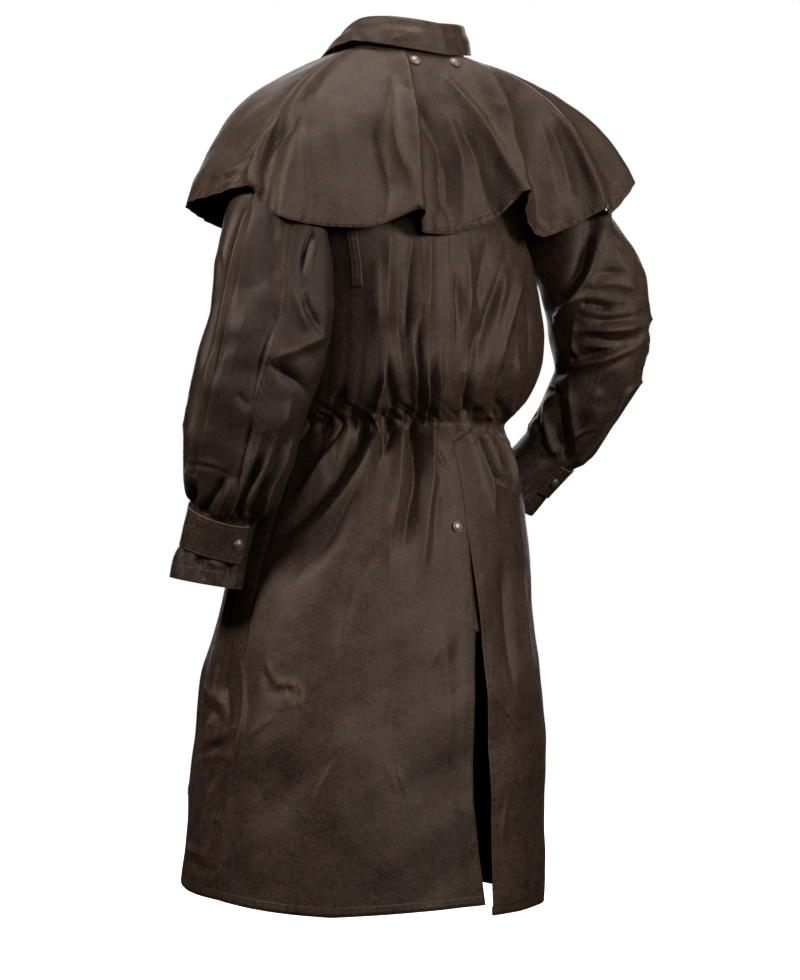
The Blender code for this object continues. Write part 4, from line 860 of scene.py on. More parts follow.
def pleat(turn, height):
    """Gathers drawn in at the waist: full puffs between narrow troughs."""
    depth = read_table(BODY_RINGS, RING_PLEAT, height)
    count = np.where(np.abs(turn) <= 1, BACK_PLEATS, FRONT_PLEATS)
    uneven = 1 + PLEAT_UNEVEN * np.sin(turn * math.pi * 3.5 + 1)
    drift = PLEAT_DRIFT * np.sin(turn * 9.0 + height * 11.0)
    drift = drift * smooth(0.0, PLEAT_DRIFT_FROM, np.abs(height - WAIST))
    wave = (1 + np.cos(2 * math.pi * (count * turn + drift))) / 2
    calm = np.minimum(1.0, (np.abs(turn) / CALM_BACK) ** 2)
    seen = 1 - SEEN_SHARE * between(SEEN_FROM, turn) * (1 - between(SEEN_TO, turn))
    return depth * uneven * calm * seen * (1 - 2 * wave ** PLEAT_SHARP) * PLEAT_GAIN


def hem_lift(turn, height):
    """How far the hem lies above or below its level."""
    lift = read_table(HEM_LIFTS, LIFT_UP, turn)
    return lift * np.maximum(0.0, 1 - (height - HEM) / HEM_LIFT_REACH)


def body_place(turn, height):
    """Points on the outer face of the skirt or blouse."""
    turn, height = np.broadcast_arrays(np.asarray(turn, float), np.asarray(height, float))
    point = ring_place(turn, height)
    side = ring_place(turn + TURN_STEP, height) - ring_place(turn - TURN_STEP, height)
    outward = unit(np.stack((-side[..., 1], side[..., 0], np.zeros_like(turn)), axis=-1))
    point = point + outward * pleat(turn, height)[..., None]
    point[..., 2] += hem_lift(turn, height)
    return point


def neck_place(angle):
    """Points of the neck seam at angles from the centre back, left side positive."""
    angles = [row[NECK_ANGLE] for row in NECK_SEAM]
    point = curve(angles, [row[NECK_X:NECK_Z + 1] for row in NECK_SEAM], np.abs(angle))
    point[..., 0] *= np.where(np.asarray(angle) < 0, -1.0, 1.0)
    return point


def side_scale(side):
    """The armholes lie a little further out on the right."""
    ring = BODY_RINGS[-1]
    return 1.0 if side > 0 else ring[RING_RIGHT] / ring[RING_LEFT]


def arm_edge(table, side, at):
    """The armhole edge at shares from the underarm to the shoulder."""
    points = curve(np.linspace(0, 1, len(table)), table, at)
    points[..., 0] *= side * side_scale(side)
    return points


def upper_rows(side, back, turns, steps):
    """Rows from the underarm up to the neck and shoulder, from the centre to the armhole."""
    shares = np.linspace(0, 1, len(turns))
    climb = np.linspace(0, 1, steps + 1)
    middle = CENTRE_BACK if back else CENTRE_FRONT
    centre = curve(np.linspace(0, 1, len(middle)), middle, climb)
    arm = arm_edge(ARMHOLE_BACK if back else ARMHOLE_FRONT, side, climb)
    bottom = body_place(turns, UNDERARM)
    swing = 90 * np.minimum(shares / NECK_SHARE, 1.0)
    top = neck_place(side * (swing if back else 180 - swing))
    beyond = np.clip((shares - NECK_SHARE) / (1 - NECK_SHARE), 0, 1)[:, None]
    top = top + (arm[-1] - top) * beyond
    centre[0], arm[0] = bottom[0], bottom[-1]
    centre[-1], arm[-1] = top[0], top[-1]
    v = climb[:, None, None]
    s = shares[None, :, None]
    corners = ((1 - s) * (1 - v) * bottom[0] + s * (1 - v) * bottom[-1]
               + (1 - s) * v * top[0] + s * v * top[-1])
    edges = (1 - v) * bottom[None] + v * top[None] + (1 - s) * centre[:, None] + s * arm[:, None]
    rows = edges - corners
    sunk = between(HIDDEN_FROM, rows[..., 2]) * (1 - between(HIDDEN_TO, v[..., 0])) * HIDDEN_SINK
    return rows - np.array((0, 1.0 if back else -1.0, HIDDEN_DOWN)) * sunk[..., None]


def panel_heights():
    """Heights of the rows of a body panel, closer together at the waist."""
    low = np.arange(HEM, WAIST - WAIST_BAND, ROW_STEP)
    waist = np.arange(low[-1] + WAIST_STEP, WAIST + WAIST_BAND, WAIST_STEP)
    high = np.linspace(waist[-1], UNDERARM, round((UNDERARM - waist[-1]) / ROW_STEP) + 1)[1:]
    return np.concatenate((low, waist, high))


def body_panel(side, back):
    """Grid of one body panel, bottom to top, its columns in order of falling turn."""
    columns = BACK_COLUMNS if back else FRONT_COLUMNS
    shares = np.linspace(0, 1, columns + 1)
    heights = panel_heights()
    if back:
        edge_column = EDGE_LEFT if side > 0 else EDGE_RIGHT
        start = turn_at(read_table(BACK_EDGES, edge_column, heights), heights)
    else:
        start = np.full(len(heights), FRONT_TURN * side)
    turns = start[:, None] + (side - start[:, None]) * shares
    skirt = body_place(turns, heights[:, None])
    grid = np.concatenate((skirt, upper_rows(side, back, turns[-1], UPPER_STEPS)[1:]))
    from_centre = (side < 0) == back
    return grid if from_centre else grid[:, ::-1]


def armhole_loop(side, count):
    """The armhole from the shoulder down its front edge and up its back one."""
    at = np.arange(count) / count * 2
    down = arm_edge(ARMHOLE_FRONT, side, 1 - np.minimum(at, 1))
    up = arm_edge(ARMHOLE_BACK, side, np.maximum(at, 1) - 1)
    return np.where((at <= 1)[:, None], down, up)


def sleeve_rings(table, side, places, count):
    """Oval rings of a sleeve, square to its run, at places along its table of sections."""
    rows = np.array(table)
    index = np.arange(len(rows))
    at = curve(index, rows, places)
    run = unit(curve(index, rows, np.minimum(places + 0.5, len(rows) - 1))[:, :3]
               - curve(index, rows, np.maximum(places - 0.5, 0))[:, :3])
    across = unit(SLEEVE_ACROSS_WAY - run * (run @ SLEEVE_ACROSS_WAY)[:, None])
    through = np.cross(run, across)
    outer = unit(np.array((side, 0, 0)) - run * side * run[:, :1])
    back = np.cross(run, outer) * -side
    angle = (2 * math.pi * np.arange(count) / count)[None, :, None]
    way = outer[:, None] * np.cos(angle) - back[:, None] * np.sin(angle)
    wide = at[:, None, SLEEVE_ACROSS, None] * np.sum(way * across[:, None], axis=-1, keepdims=True)
    deep = at[:, None, SLEEVE_THROUGH, None] * np.sum(way * through[:, None], axis=-1, keepdims=True)
    return at[:, None, :3] + across[:, None] * wide + through[:, None] * deep


def clear_of_body(points, room):
    """Moves points of a sleeve out, level, until they have room beside the body."""
    ring = ring_at(np.minimum(points[..., 2], UNDERARM))
    half = np.where(points[..., 0] > 0, ring[..., RING_LEFT], ring[..., RING_RIGHT])
    deep = np.where(points[..., 1] > 0, ring[..., RING_BACK], ring[..., RING_FRONT])
    square = ring[..., RING_SQUARE]
    reach = ((np.abs(points[..., 0]) / half) ** square
             + (np.abs(points[..., 1]) / deep) ** square) ** (1 / square)
    wanted = 1 + room / np.hypot(points[..., 0], points[..., 1])
    scale = np.where(points[..., 2] < SLEEVE_CLEAR_TOP, np.maximum(1.0, wanted / reach), 1.0)
    moved = points.copy()
    moved[..., :2] *= scale[..., None]
    return moved


def sleeve_grid(table, side):
    """Rings of a sleeve from the armhole to the cuff, starting at the top of the shoulder.
    Also gives each ring's place: below 0 between the armhole and the first section."""
    path = np.array([row[:3] for row in table])
    length = np.linalg.norm(np.diff(path, axis=0), axis=1)
    places = [-1.0 + step / CAP_STEPS for step in range(CAP_STEPS)]
    for index, stretch in enumerate(length):
        steps = max(2, round(stretch / SLEEVE_STEP))
        places += [index + step / steps for step in range(steps)]
    places = np.array(places + [len(table) - 1.0])
    loop = armhole_loop(side, SLEEVE_COLUMNS)
    first = sleeve_rings(table, side, np.array((0.0,)), SLEEVE_COLUMNS)[0]
    below = sleeve_rings(table, side, places[places >= 0], SLEEVE_COLUMNS)
    share = (places[places < 0] + 1)[:, None, None]
    top = (1 + np.cos(2 * math.pi * np.arange(SLEEVE_COLUMNS) / SLEEVE_COLUMNS))[None, :, None] / 2
    way = np.array((side * SLEEVE_CAP_OUT, 0, SLEEVE_CAP_UP))
    swell = way * SLEEVE_CAP_BULGE * np.sin(math.pi * share) * top
    cap = loop + (first - loop) * share + swell
    rings = np.concatenate((cap, below))
    room = SLEEVE_CLEAR * between(SLEEVE_CLEAR_FROM, places)[:, None]
    cleared = clear_of_body(rings, room)
    cleared[0] = loop
    return soften(cleared, np.abs(places) < CAP_SOFT_PLACES, CAP_SOFT_ROUNDS), places


def soften(grid, rows, times):
    """Evens out some rows of a grid along its columns."""
    grid = grid.copy()
    for _ in range(times):
        mean = (grid[:-2] + grid[2:]) / 2
        grid[1:-1][rows[1:-1]] = (grid[1:-1] * (1 - SOFT_SHARE) + mean * SOFT_SHARE)[rows[1:-1]]
    return grid


def neck_way(angle):
    """The level directions outwards from the neck at angles."""
    point = neck_place(angle)
    point[..., 1] -= NECK_MIDDLE_Y
    point[..., 2] = 0.0
    return unit(point)


def cape_grid():
    """The cape from the neck to its hem, its columns in order of falling angle."""
    table = np.array(CAPE_HEM)
    columns = curve(range(len(table)), table, np.linspace(0, len(table) - 1, CAPE_COLUMNS + 1))
    angle = columns[:, CAPE_ANGLE]
    share = np.linspace(0, 1, CAPE_ROWS + 1)[:, None]
    start = neck_place(angle) + neck_way(angle) * CAPE_EDGE_OUT
    start[:, 2] += CAPE_EDGE_UP
    hem = columns[:, CAPE_X:CAPE_Z + 1]
    bend = CAPE_BEND + CAPE_BEND_MORE * np.cos(np.radians(angle)) ** 2
    sweep = share + bend * share * (1 - share)
    drop = share - bend * share * (1 - share)
    return start + (hem - start) * np.stack((sweep, sweep, drop), axis=-1)


def collar_grids():
    """The stand from the neck seam to the fold line, and the fall from inside the fold to its
    edge."""
    angles = np.linspace(COLLAR_END, -COLLAR_END, COLLAR_COLUMNS + 1)
    rows = curve([row[NECK_ANGLE] for row in NECK_SEAM], NECK_SEAM, np.abs(angles))
    way = neck_way(angles)
    up = np.array((0, 0, 1.0))
    seam = neck_place(angles) + up * STAND_BASE
    crest = seam - way * STAND_LEAN + up * (rows[:, STAND_HEIGHT, None] - STAND_BASE)
    share = np.linspace(0, 1, STAND_STEPS + 1)[:, None, None]
    stand = seam + (crest - seam) * share
    section = curve(range(len(FALL_SECTION)), FALL_SECTION,
                    np.linspace(0, len(FALL_SECTION) - 1, FALL_STEPS + 1))
    reach = section[:, None, FOLD_SHARE, None]
    out = section[:, None, FOLD_OUT, None] + reach * rows[None, :, FALL_OUT, None]
    high = section[:, None, FOLD_UP, None] - reach * rows[None, :, FALL_DOWN, None]
    return stand, crest + way * out + up * high


def to_pixels(points, azimuth):
    """Where a camera at an azimuth sees points, in pixels, and the level way towards it."""
    angle = math.radians(azimuth)
    right = np.array((math.cos(angle), math.sin(angle), 0.0))
    near = np.array((math.sin(angle), -math.cos(angle), 0.0))
    towards = points @ near
    scale = PIXEL * (1 - towards / CAMERA_DISTANCE)
    x = IMAGE_MIDDLE[0] + (points @ right - CAMERA_SHIFT) / scale
    y = IMAGE_MIDDLE[1] + (CAMERA_HEIGHT - points[..., 2]) / scale
    return x, y, near


def on_grid(grid, normals, azimuth, spots):
    """The places of a grid that a camera sees at the given pixels."""
    x, y, near = to_pixels(grid, azimuth)
    hidden = np.where(normals @ near > FACING_AWAY, 0.0, 1e6)
    found = []
    for spot in spots:
        away = (x - spot[0]) ** 2 + (y - spot[1]) ** 2 + hidden
        i, j = np.unravel_index(int(np.argmin(away)), away.shape)
        found.append(grid[i, j])
    return np.array(found)


def crease_line(points):
    """A smooth line of short steps through a crease's points."""
    lengths = np.linalg.norm(np.diff(points, axis=0), axis=1)
    places = np.concatenate(((0.0,), np.cumsum(np.maximum(lengths, 1e-4))))
    places /= places[-1]
    steps = max(CREASE_LEAST_STEPS, int(np.sum(lengths) / CREASE_STEP))
    share = np.linspace(0, 1, steps + 1)
    return curve(places, points, share)


def press_crease(grid, normals, line, row, rise, rub_and_highlight):
    """Adds one ridge or trough to a grid's rise, and its lighter colour to the grid's rub: wear on
    crests, and a painted highlight from a row with almost no rise.
    """
    depth, wide, beyond = (row[k] * MILLIMETRE for k in (CREASE_DEPTH, CREASE_WIDTH, CREASE_BEYOND))
    reach = CREASE_REACH * max(wide, beyond)
    near = np.all((grid > line.min(axis=0) - reach) & (grid < line.max(axis=0) + reach), axis=-1)
    if not near.any():
        return
    here, out = grid[near], normals[near]
    start, step = line[:-1], np.diff(line, axis=0)
    away = here[:, None] - start[None]
    share = np.clip(np.sum(away * step, axis=-1) / np.sum(step * step, axis=-1), 0, 1)
    off = away - share[..., None] * step
    distance = np.linalg.norm(off, axis=-1)
    nearest = np.argmin(distance, axis=1)
    pick = np.arange(len(here))
    distance = distance[pick, nearest]
    along = (nearest + share[pick, nearest]) / len(step)
    side = np.sum(np.cross(step[nearest], off[pick, nearest]) * out, axis=-1)
    width = np.where(side > 0, wide, beyond)
    wander = 1 + CREASE_WANDER * np.sin(along * WANDER_BEAT + depth * WANDER_PHASE)
    grow = row[CREASE_START] + (1 - row[CREASE_START]) * smooth(0, CREASE_GROWN, along)
    fade = row[CREASE_END] + (1 - row[CREASE_END]) * (1 - smooth(CREASE_FADES, 1.0, along))
    fade = fade * grow * wander
    rise[near] += depth * fade * np.exp(-(distance / width) ** CREASE_POWER)
    # Lighter colour beside the crease: wear, and a painted highlight for a row with almost no rise
    rub_and_highlight[near] += row[CREASE_RUB_AND_HIGHLIGHT] * fade * np.exp(-(distance / (RUB_AND_HIGHLIGHT_SHARE * width + RUB_AND_HIGHLIGHT_WIDE)) ** 2)


def crease(grid, normals, tables):
    """Moves a grid out and in along its creases. Gives back its points and its rubbed colour, which
    holds wear and a painted highlight.
    """
    rise = np.zeros(grid.shape[:2])
    rub_and_highlight = np.zeros(grid.shape[:2])
    for azimuth, rows in tables:
        for row in rows:
            line = crease_line(on_grid(grid, normals, azimuth, row[CREASE_PATH:]))
            press_crease(grid, normals, line, row, rise, rub_and_highlight)
    return grid + normals * (rise * CREASE_GAIN)[..., None], rub_and_highlight


def lengths_along(grid, axis):
    """How far each point lies from the start of its row or column, along the cloth."""
    steps = np.linalg.norm(np.diff(grid, axis=axis), axis=-1)
    zero = np.zeros_like(np.take(steps, (0,), axis=axis))
    return np.cumsum(np.concatenate((zero, steps), axis=axis), axis=axis)


def turned_edge(arrays, edge, width):
    """Turns a hem's cloth over an edge and lays it flat inside: a few more rows of points. The
    arrays are the grid, its normals, its distances from the four edges and its rubbed colour
    (wear and painted highlight)."""
    flipped = edge in ("high", "last")
    turned = edge in ("first", "last")
    if turned:
        arrays = [np.swapaxes(array, 0, 1) for array in arrays]
    if flipped:
        arrays = [array[::-1] for array in arrays]
    grid, normals, *fields = arrays
    reach = lengths_along(grid[:HEM_FOLD_ROWS], 0).mean(axis=1)
    rows, outs, more = [], [], [[] for _ in fields]
    for back, sink in HEM_FOLD:
        at = min(back * width, reach[-1] * 0.98)
        index = min(int(np.searchsorted(reach, at, side="right")) - 1, len(reach) - 2)
        t = (at - reach[index]) / (reach[index + 1] - reach[index])
        out = unit(normals[index] * (1 - t) + normals[index + 1] * t)
        rows.append(grid[index] * (1 - t) + grid[index + 1] * t - out * sink)
        outs.append(out)
        for k, field in enumerate(fields):
            mirrored = 2 * field[0] - (field[index] * (1 - t) + field[index + 1] * t)
            more[k].append(field[0] if k == RUB_AND_HIGHLIGHT_FIELD else mirrored)
    arrays = [np.concatenate((np.array(extra), array))
              for extra, array in zip((rows, outs, *more), arrays)]
    if flipped:
        arrays = [array[::-1] for array in arrays]
    if turned:
        arrays = [np.swapaxes(array, 0, 1) for array in arrays]
    return arrays


def place_piece(piece, node):
    """Puts a piece into the scene, in the place of its node."""
    bpy.context.scene.collection.objects.link(piece)
    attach(piece, "root")
    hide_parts(node)


def finish_mesh(mesh, rub_and_highlight, material):
    """Gives a mesh its wear and painted highlight at each point, and its material."""
    worn = mesh.attributes.new("rub_and_highlight", "FLOAT", "POINT")
    worn.data.foreach_set("value", rub_and_highlight)
    mesh.shade_smooth()
    mesh.materials.append(material)


def cloth(name, grid, normals, rub_and_highlight, material, hems=()):
    """One piece of cloth as a thin shell, with its hems turned in. Gives back its flat size too."""
    across, along = lengths_along(grid, 1), lengths_along(grid, 0)
    flat = [float(across.max(axis=1).mean()), float(along.max(axis=0).mean())]
    arrays = [grid, normals, across, along, across[:, -1:] - across, along[-1:] - along, rub_and_highlight]
    for edge, width in hems:
        flat[edge in ("low", "high")] += width
        arrays = turned_edge(arrays, edge, width)
    grid, normals, *fields = arrays
    rows, columns = grid.shape[:2]
    index = np.arange(rows * columns).reshape(rows, columns)
    quads = np.stack((index[:-1, :-1], index[:-1, 1:], index[1:, 1:], index[1:, :-1]), axis=-1)
    quads = quads.reshape(-1, 4)
    first = grid.reshape(-1, 3)[quads[len(quads) // 2]]
    faces_out = np.cross(first[1] - first[0], first[3] - first[0])
    if faces_out @ normals.reshape(-1, 3)[quads[len(quads) // 2][0]] < 0:
        quads = quads[:, ::-1]
    mesh = bpy.data.meshes.new("shape_" + name)
    mesh.vertices.add(rows * columns)
    mesh.vertices.foreach_set("co", grid.ravel())
    mesh.loops.add(quads.size)
    mesh.loops.foreach_set("vertex_index", quads.ravel())
    mesh.polygons.add(len(quads))
    mesh.polygons.foreach_set("loop_start", np.arange(len(quads)) * 4)
    mesh.update(calc_edges=True)
    for label, (a, b) in (("near_edges", (0, 1)), ("far_edges", (2, 3))):
        layer = mesh.uv_layers.new(name=label)
        pair = np.stack((fields[a].ravel(), fields[b].ravel()), axis=-1)[quads.ravel()]
        layer.data.foreach_set("uv", pair.ravel())
    finish_mesh(mesh, np.clip(fields[RUB_AND_HIGHLIGHT_FIELD], 0, 1).ravel(), material)
    piece = bpy.data.objects.new("cloth_" + name, mesh)
    place_piece(piece, name)
    return piece, flat


class Value:
    """An output of a shader node that can be reckoned with like a number."""

    def __init__(self, shader, socket):
        self.shader = shader
        self.socket = socket

    def math(self, operation, *others):
        values = dict(enumerate((self, *others)))
        return self.shader.node("Math", 0, {"operation": operation}, values)

    def __add__(self, other):
        return self.math("ADD", other)

    def __sub__(self, other):
        return self.math("SUBTRACT", other)

    def __mul__(self, other):
        return self.math("MULTIPLY", other)

    def __truediv__(self, other):
        return self.math("DIVIDE", other)

    def __rsub__(self, other):
        return self * -1.0 + other

    __radd__ = __add__
    __rmul__ = __mul__

    def size(self):
        """The value without its sign."""
        return self.math("ABSOLUTE")

    def ramp(self, low, high):
        """Goes smoothly from 0 where the value is low to 1 where it is high."""
        return self.shader.node("MapRange", 0, {"interpolation_type": "SMOOTHSTEP"},
                                {0: self, 1: low, 2: high})


class Shader:
    """A material's nodes, each made by one method."""

    def __init__(self, name):
        self.material = bpy.data.materials.new(name)
        self.material.use_nodes = True
        self.tree = self.material.node_tree
        self.tree.nodes.clear()

    def output(self, surface):
        """Ends the tree in the material's output."""
        end = self.tree.nodes.new("ShaderNodeOutputMaterial")
        self.tree.links.new(surface.socket, end.inputs["Surface"])

    def node(self, kind, output, settings, values):
        """Makes a node with its settings and its inputs, and gives back one of its outputs."""
        node = self.tree.nodes.new("ShaderNode" + kind)
        for name, value in settings.items():
            setattr(node, name, value)
        for name, value in values.items():
            if isinstance(value, Value):
                self.tree.links.new(value.socket, node.inputs[name])
            else:
                node.inputs[name].default_value = value
        return Value(self, node.outputs[output])

    def noise(self, place, scale, detail, rough, bend):
        values = {"Vector": place, "Scale": scale, "Detail": detail, "Roughness": rough,
                  "Distortion": bend}
        return self.node("TexNoise", 0, {}, values)

    def blend(self, share, first, second):
        """A colour between two others."""
        first, second = (value if isinstance(value, Value) else (*value, 1.0)
                         for value in (first, second))
        return self.node("Mix", 2, {"data_type": "RGBA"}, {0: share, 6: first, 7: second})

    def edge_pair(self, label):
        """The distances from a pair of edges that a UV map holds."""
        pair = self.node("UVMap", 0, {"uv_map": label}, {})
        return (self.node("SeparateXYZ", "X", {}, {0: pair}).size(),
                self.node("SeparateXYZ", "Y", {}, {0: pair}).size())

    def finish(self, height, values):
        """Ends in a Principled shader whose surface is raised by a height in metres."""
        values["Normal"] = self.node("Bump", 0, {}, {"Strength": 1.0, "Distance": 1.0,
                                                     "Height": height})
        self.output(self.node("BsdfPrincipled", 0, {}, values))
        return self.material


def stitch_row(away, run, offset):
    """A row of stitches at an offset from an edge: its thread, and how it draws the cloth in."""
    across = (away - offset).size()
    phase = (run / STITCH_LENGTH).math("FRACT")
    on_stitch = (phase - 0.5).size().ramp(*STITCH_SHARE)
    thread = across.ramp(STITCH_WIDE, STITCH_WIDE * STITCH_ROUND) * on_stitch
    groove = across.ramp(STITCH_GROOVE, 0.0) * (1.0 - on_stitch * GROOVE_UNDER_STITCH)
    return thread, groove


def edge_detail(kind, away, run, unevenness):
    """Height, thread, wear, shadow and rubbed crests along one edge, by how it is sewn."""
    spec = EDGE_KINDS[kind]
    threads, grooves = 0.0, 0.0
    for offset in spec["rows"]:
        thread, groove = stitch_row(away, run, offset)
        threads = thread + threads
        grooves = groove + grooves
    wave = (run * (2 * math.pi / PUCKER_LENGTH) + unevenness * PUCKER_DRIFT).math("SINE")
    middle = spec["width"] * 0.5
    pucker = wave * (away - middle).size().ramp(middle + PUCKER_REACH, 0.0)
    raised = away.ramp(spec["width"] + FOLD_STEP_OUT, spec["width"] - FOLD_STEP_IN)
    height = raised * spec["raise"] + pucker * spec["pucker"]
    if spec["rows"]:
        height = height + threads * STITCH_HEIGHT - grooves * STITCH_DRAW
    wear = away.ramp(spec["worn"], 0.0) if spec["worn"] else away * 0.0
    shadow = (away - spec["width"]).size().ramp(SHADOW_WIDE, 0.0) * spec["shadow"]
    crest = pucker.ramp(*PUCKER_CREST)
    return height, threads, wear, shadow, crest


def oilskin(name, shade=0.0, **edges):
    """Waxed cotton: mottled dark brown, rubbed lighter on creases and edges, finely woven, with
    painted shade by its shade share and a painted highlight in its rubbed colour.
    """
    shader = Shader(name)
    place = shader.node("TexCoord", "Object", {}, {})
    near, far = shader.edge_pair("near_edges"), shader.edge_pair("far_edges")
    sides = {"first": (near[0], near[1]), "last": (far[0], near[1]),
             "low": (near[1], near[0]), "high": (far[1], near[0])}
    pattern = {key: shader.noise(place, *noise) for key, noise in CLOTH_PATTERNS.items()}
    mottle, grain = pattern["mottle"], pattern["grain"]
    warp = (near[0] * (2 * math.pi / WEAVE)).math("SINE")
    weft = (near[1] * (2 * math.pi / WEAVE)).math("SINE")
    rub_and_highlight = shader.node("Attribute", "Fac", {"attribute_name": "rub_and_highlight"}, {})
    height = warp * weft * WEAVE_HIGH
    for key, high in PATTERN_HIGH:
        height = height + pattern[key] * high
    threads, wear, shadow = grain * 0.0, grain * 0.0, grain * 0.0
    for side, kind in edges.items():
        away, run = sides[side]
        rise, thread, worn, dark, crest = edge_detail(kind, away, run, pattern["swell"])
        height = height + rise
        threads = threads.math("MAXIMUM", thread)
        wear = wear.math("MAXIMUM", worn * (RUB_LEAST + mottle)) + crest * CREST_WORN
        shadow = shadow.math("MAXIMUM", dark)
    ground = GROUND_LEAST + pattern["patches"].ramp(*GROUND_RAMP) * GROUND_MORE
    color = shader.blend(ground, WAX_DARK, WAX_MIDDLE)
    for key, where_high, limits, strength, tone in CLOTH_LAYERS:
        share = pattern[key] if where_high else 1.0 - pattern[key]
        color = shader.blend(share.ramp(*limits) * strength, color, tone)
    # Painted shade: each sleeve is darkened towards the deepest wax by its shade share
    color = shader.blend(shade, color, WAX_DEEP_AND_SHADE)
    # Rubbed colour from the creases: wear, and a painted highlight along the left sleeve's outer face
    color = shader.blend(rub_and_highlight * (RUB_LEAST + mottle * RUB_AND_HIGHLIGHT_MOTTLED), color, RUBBED_AND_HIGHLIGHT)
    color = shader.blend(shadow * SHADOW_STRENGTH, color, WAX_DEEP_AND_SHADE)
    color = shader.blend(wear.math("MINIMUM", WEAR_MOST), color, EDGE_WORN)
    color = shader.blend(threads * THREAD_STRENGTH, color, THREAD)
    rough = (CLOTH_ROUGH + (mottle - 0.5) * ROUGH_MOTTLE + rub_and_highlight * ROUGH_RUB
             + (grain - 0.5) * ROUGH_GRAIN)
    return shader.finish(height, {"Base Color": color, "Roughness": rough, "IOR": WAX_IOR,
                                  "Specular Tint": (*WAX_SHEEN, 1.0)})


def copper(name):
    """Old copper plate: dark in its hollows, bright where it is rubbed."""
    shader = Shader(name)
    place = shader.node("TexCoord", "Object", {}, {})
    spread = shader.noise(place, *COPPER_SPREAD)
    fine = shader.noise(place, *COPPER_FINE)
    rub_and_highlight = shader.node("Attribute", "Fac", {"attribute_name": "rub_and_highlight"}, {})
    bright = (rub_and_highlight + (spread - 0.5) * COPPER_MOTTLE).ramp(*COPPER_RAMP)
    color = shader.blend(bright, SNAP_DARK, SNAP_BRIGHT)
    rough = COPPER_ROUGH - bright * COPPER_POLISH + (fine - 0.5) * COPPER_ROUGH_FINE
    height = spread * COPPER_SPREAD_HIGH + fine * COPPER_FINE_HIGH
    return shader.finish(height, {"Base Color": color, "Roughness": rough,
                                  "Metallic": COPPER_METALLIC})


def calm_near(grid, fields, centres):
    """Fades creases out round the snaps, which lie on flat cloth."""
    for centre in centres:
        away = np.linalg.norm(grid - np.array(centre), axis=-1)
        fields = fields * between(SNAP_CALM, away)
    return fields


def middle_of(node):
    """The middle of a CAD node's box."""
    low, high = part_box(node)
    return (np.array(low) + np.array(high)) / 2


def snap(node, grid, normals, material):
    """A domed cap with a rolled rim on the cloth where its CAD node lies."""
    away = np.linalg.norm(grid - middle_of(node), axis=-1)
    i, j = np.unravel_index(int(np.argmin(away)), away.shape)
    i, j = (int(np.clip(place, SNAP_BED, count - SNAP_BED - 1))
            for place, count in ((i, grid.shape[0]), (j, grid.shape[1])))
    bed = normals[i - SNAP_BED:i + SNAP_BED + 1, j - SNAP_BED:j + SNAP_BED + 1]
    out = unit(bed.reshape(-1, 3).mean(axis=0))
    beside = unit(np.cross(out, (0.0, 0.0, 1.0)))
    above = np.cross(out, beside)
    centre = middle_of(node)
    centre = centre + out * ((grid[i, j] - centre) @ out + SNAP_LIFT)
    angle = 2 * math.pi * np.arange(SNAP_SIDES) / SNAP_SIDES
    spin = beside * np.cos(angle)[:, None] + above * np.sin(angle)[:, None]
    rings = [centre + spin * reach * SNAP_RADIUS + out * high * SNAP_HEIGHT
             for reach, high, _ in SNAP_SECTION]
    wear = [rubbed for _, _, rubbed in SNAP_SECTION]
    mesh = bpy.data.meshes.new("shape_" + node)
    points = [tuple(point) for ring in rings for point in ring] + [tuple(rings[-1].mean(axis=0))]
    faces = []
    for k in range(len(rings) - 1):
        for m in range(SNAP_SIDES):
            n = (m + 1) % SNAP_SIDES
            faces.append([k * SNAP_SIDES + m, k * SNAP_SIDES + n,
                          (k + 1) * SNAP_SIDES + n, (k + 1) * SNAP_SIDES + m])
    last = (len(rings) - 1) * SNAP_SIDES
    for m in range(SNAP_SIDES):
        faces.append([last + m, last + (m + 1) % SNAP_SIDES, len(points) - 1])
    mesh.from_pydata(points, [], faces)
    finish_mesh(mesh, np.append(np.repeat(wear, SNAP_SIDES), wear[-1]), material)
    place_piece(bpy.data.objects.new("metal_" + node, mesh), node)


def strip(node, grid, normals, material, hems, lift=STRIP_LIFT, rounds=STRIP_ROUNDS):
    """A stiff strip that lies on a piece: the piece's own points, evened out and moved out.
    Gives back its piece, its flat size and its points."""
    flat = grid.copy()
    for _ in range(rounds):
        flat[1:-1] = flat[1:-1] * 0.5 + (flat[:-2] + flat[2:]) * 0.25
        flat[:, 1:-1] = flat[:, 1:-1] * 0.5 + (flat[:, :-2] + flat[:, 2:]) * 0.25
    sunk = np.sum((grid - flat) * normals, axis=-1)
    flat = flat + normals * (lift + max(0.0, float(np.percentile(sunk, STRIP_PERCENTILE))))
    return *cloth(node, flat, normals, np.zeros(flat.shape[:2]), material, hems), flat


def waist_gathers(grid):
    """Small uneven gathers along the waist's cord, as depths below the surface."""
    run = lengths_along(grid, 1)
    height = grid[..., 2]
    random = np.random.default_rng(WAIST_SEED)
    rise = np.zeros(run.shape)
    place = 0.0
    while place < run.max():
        wide, deep = random.uniform(*GATHER_WIDE), random.uniform(*GATHER_DEEP)
        up, down = random.uniform(*GATHER_UP), random.uniform(*GATHER_DOWN)
        from_middle = height - WAIST - random.normal(0, GATHER_OFF_LEVEL)
        off = run - place - random.normal(0, GATHER_LEAN) * from_middle
        band = np.exp(-(np.abs(from_middle) / np.where(from_middle > 0, up, down)) ** GATHER_BAND_POWER)
        wide = wide * (1 + np.abs(from_middle) * GATHER_SPREAD)
        rise -= deep * band * np.exp(-(np.abs(off) / wide) ** GATHER_SIDE_POWER)
        place += random.uniform(*GATHER_STEP)
    return rise


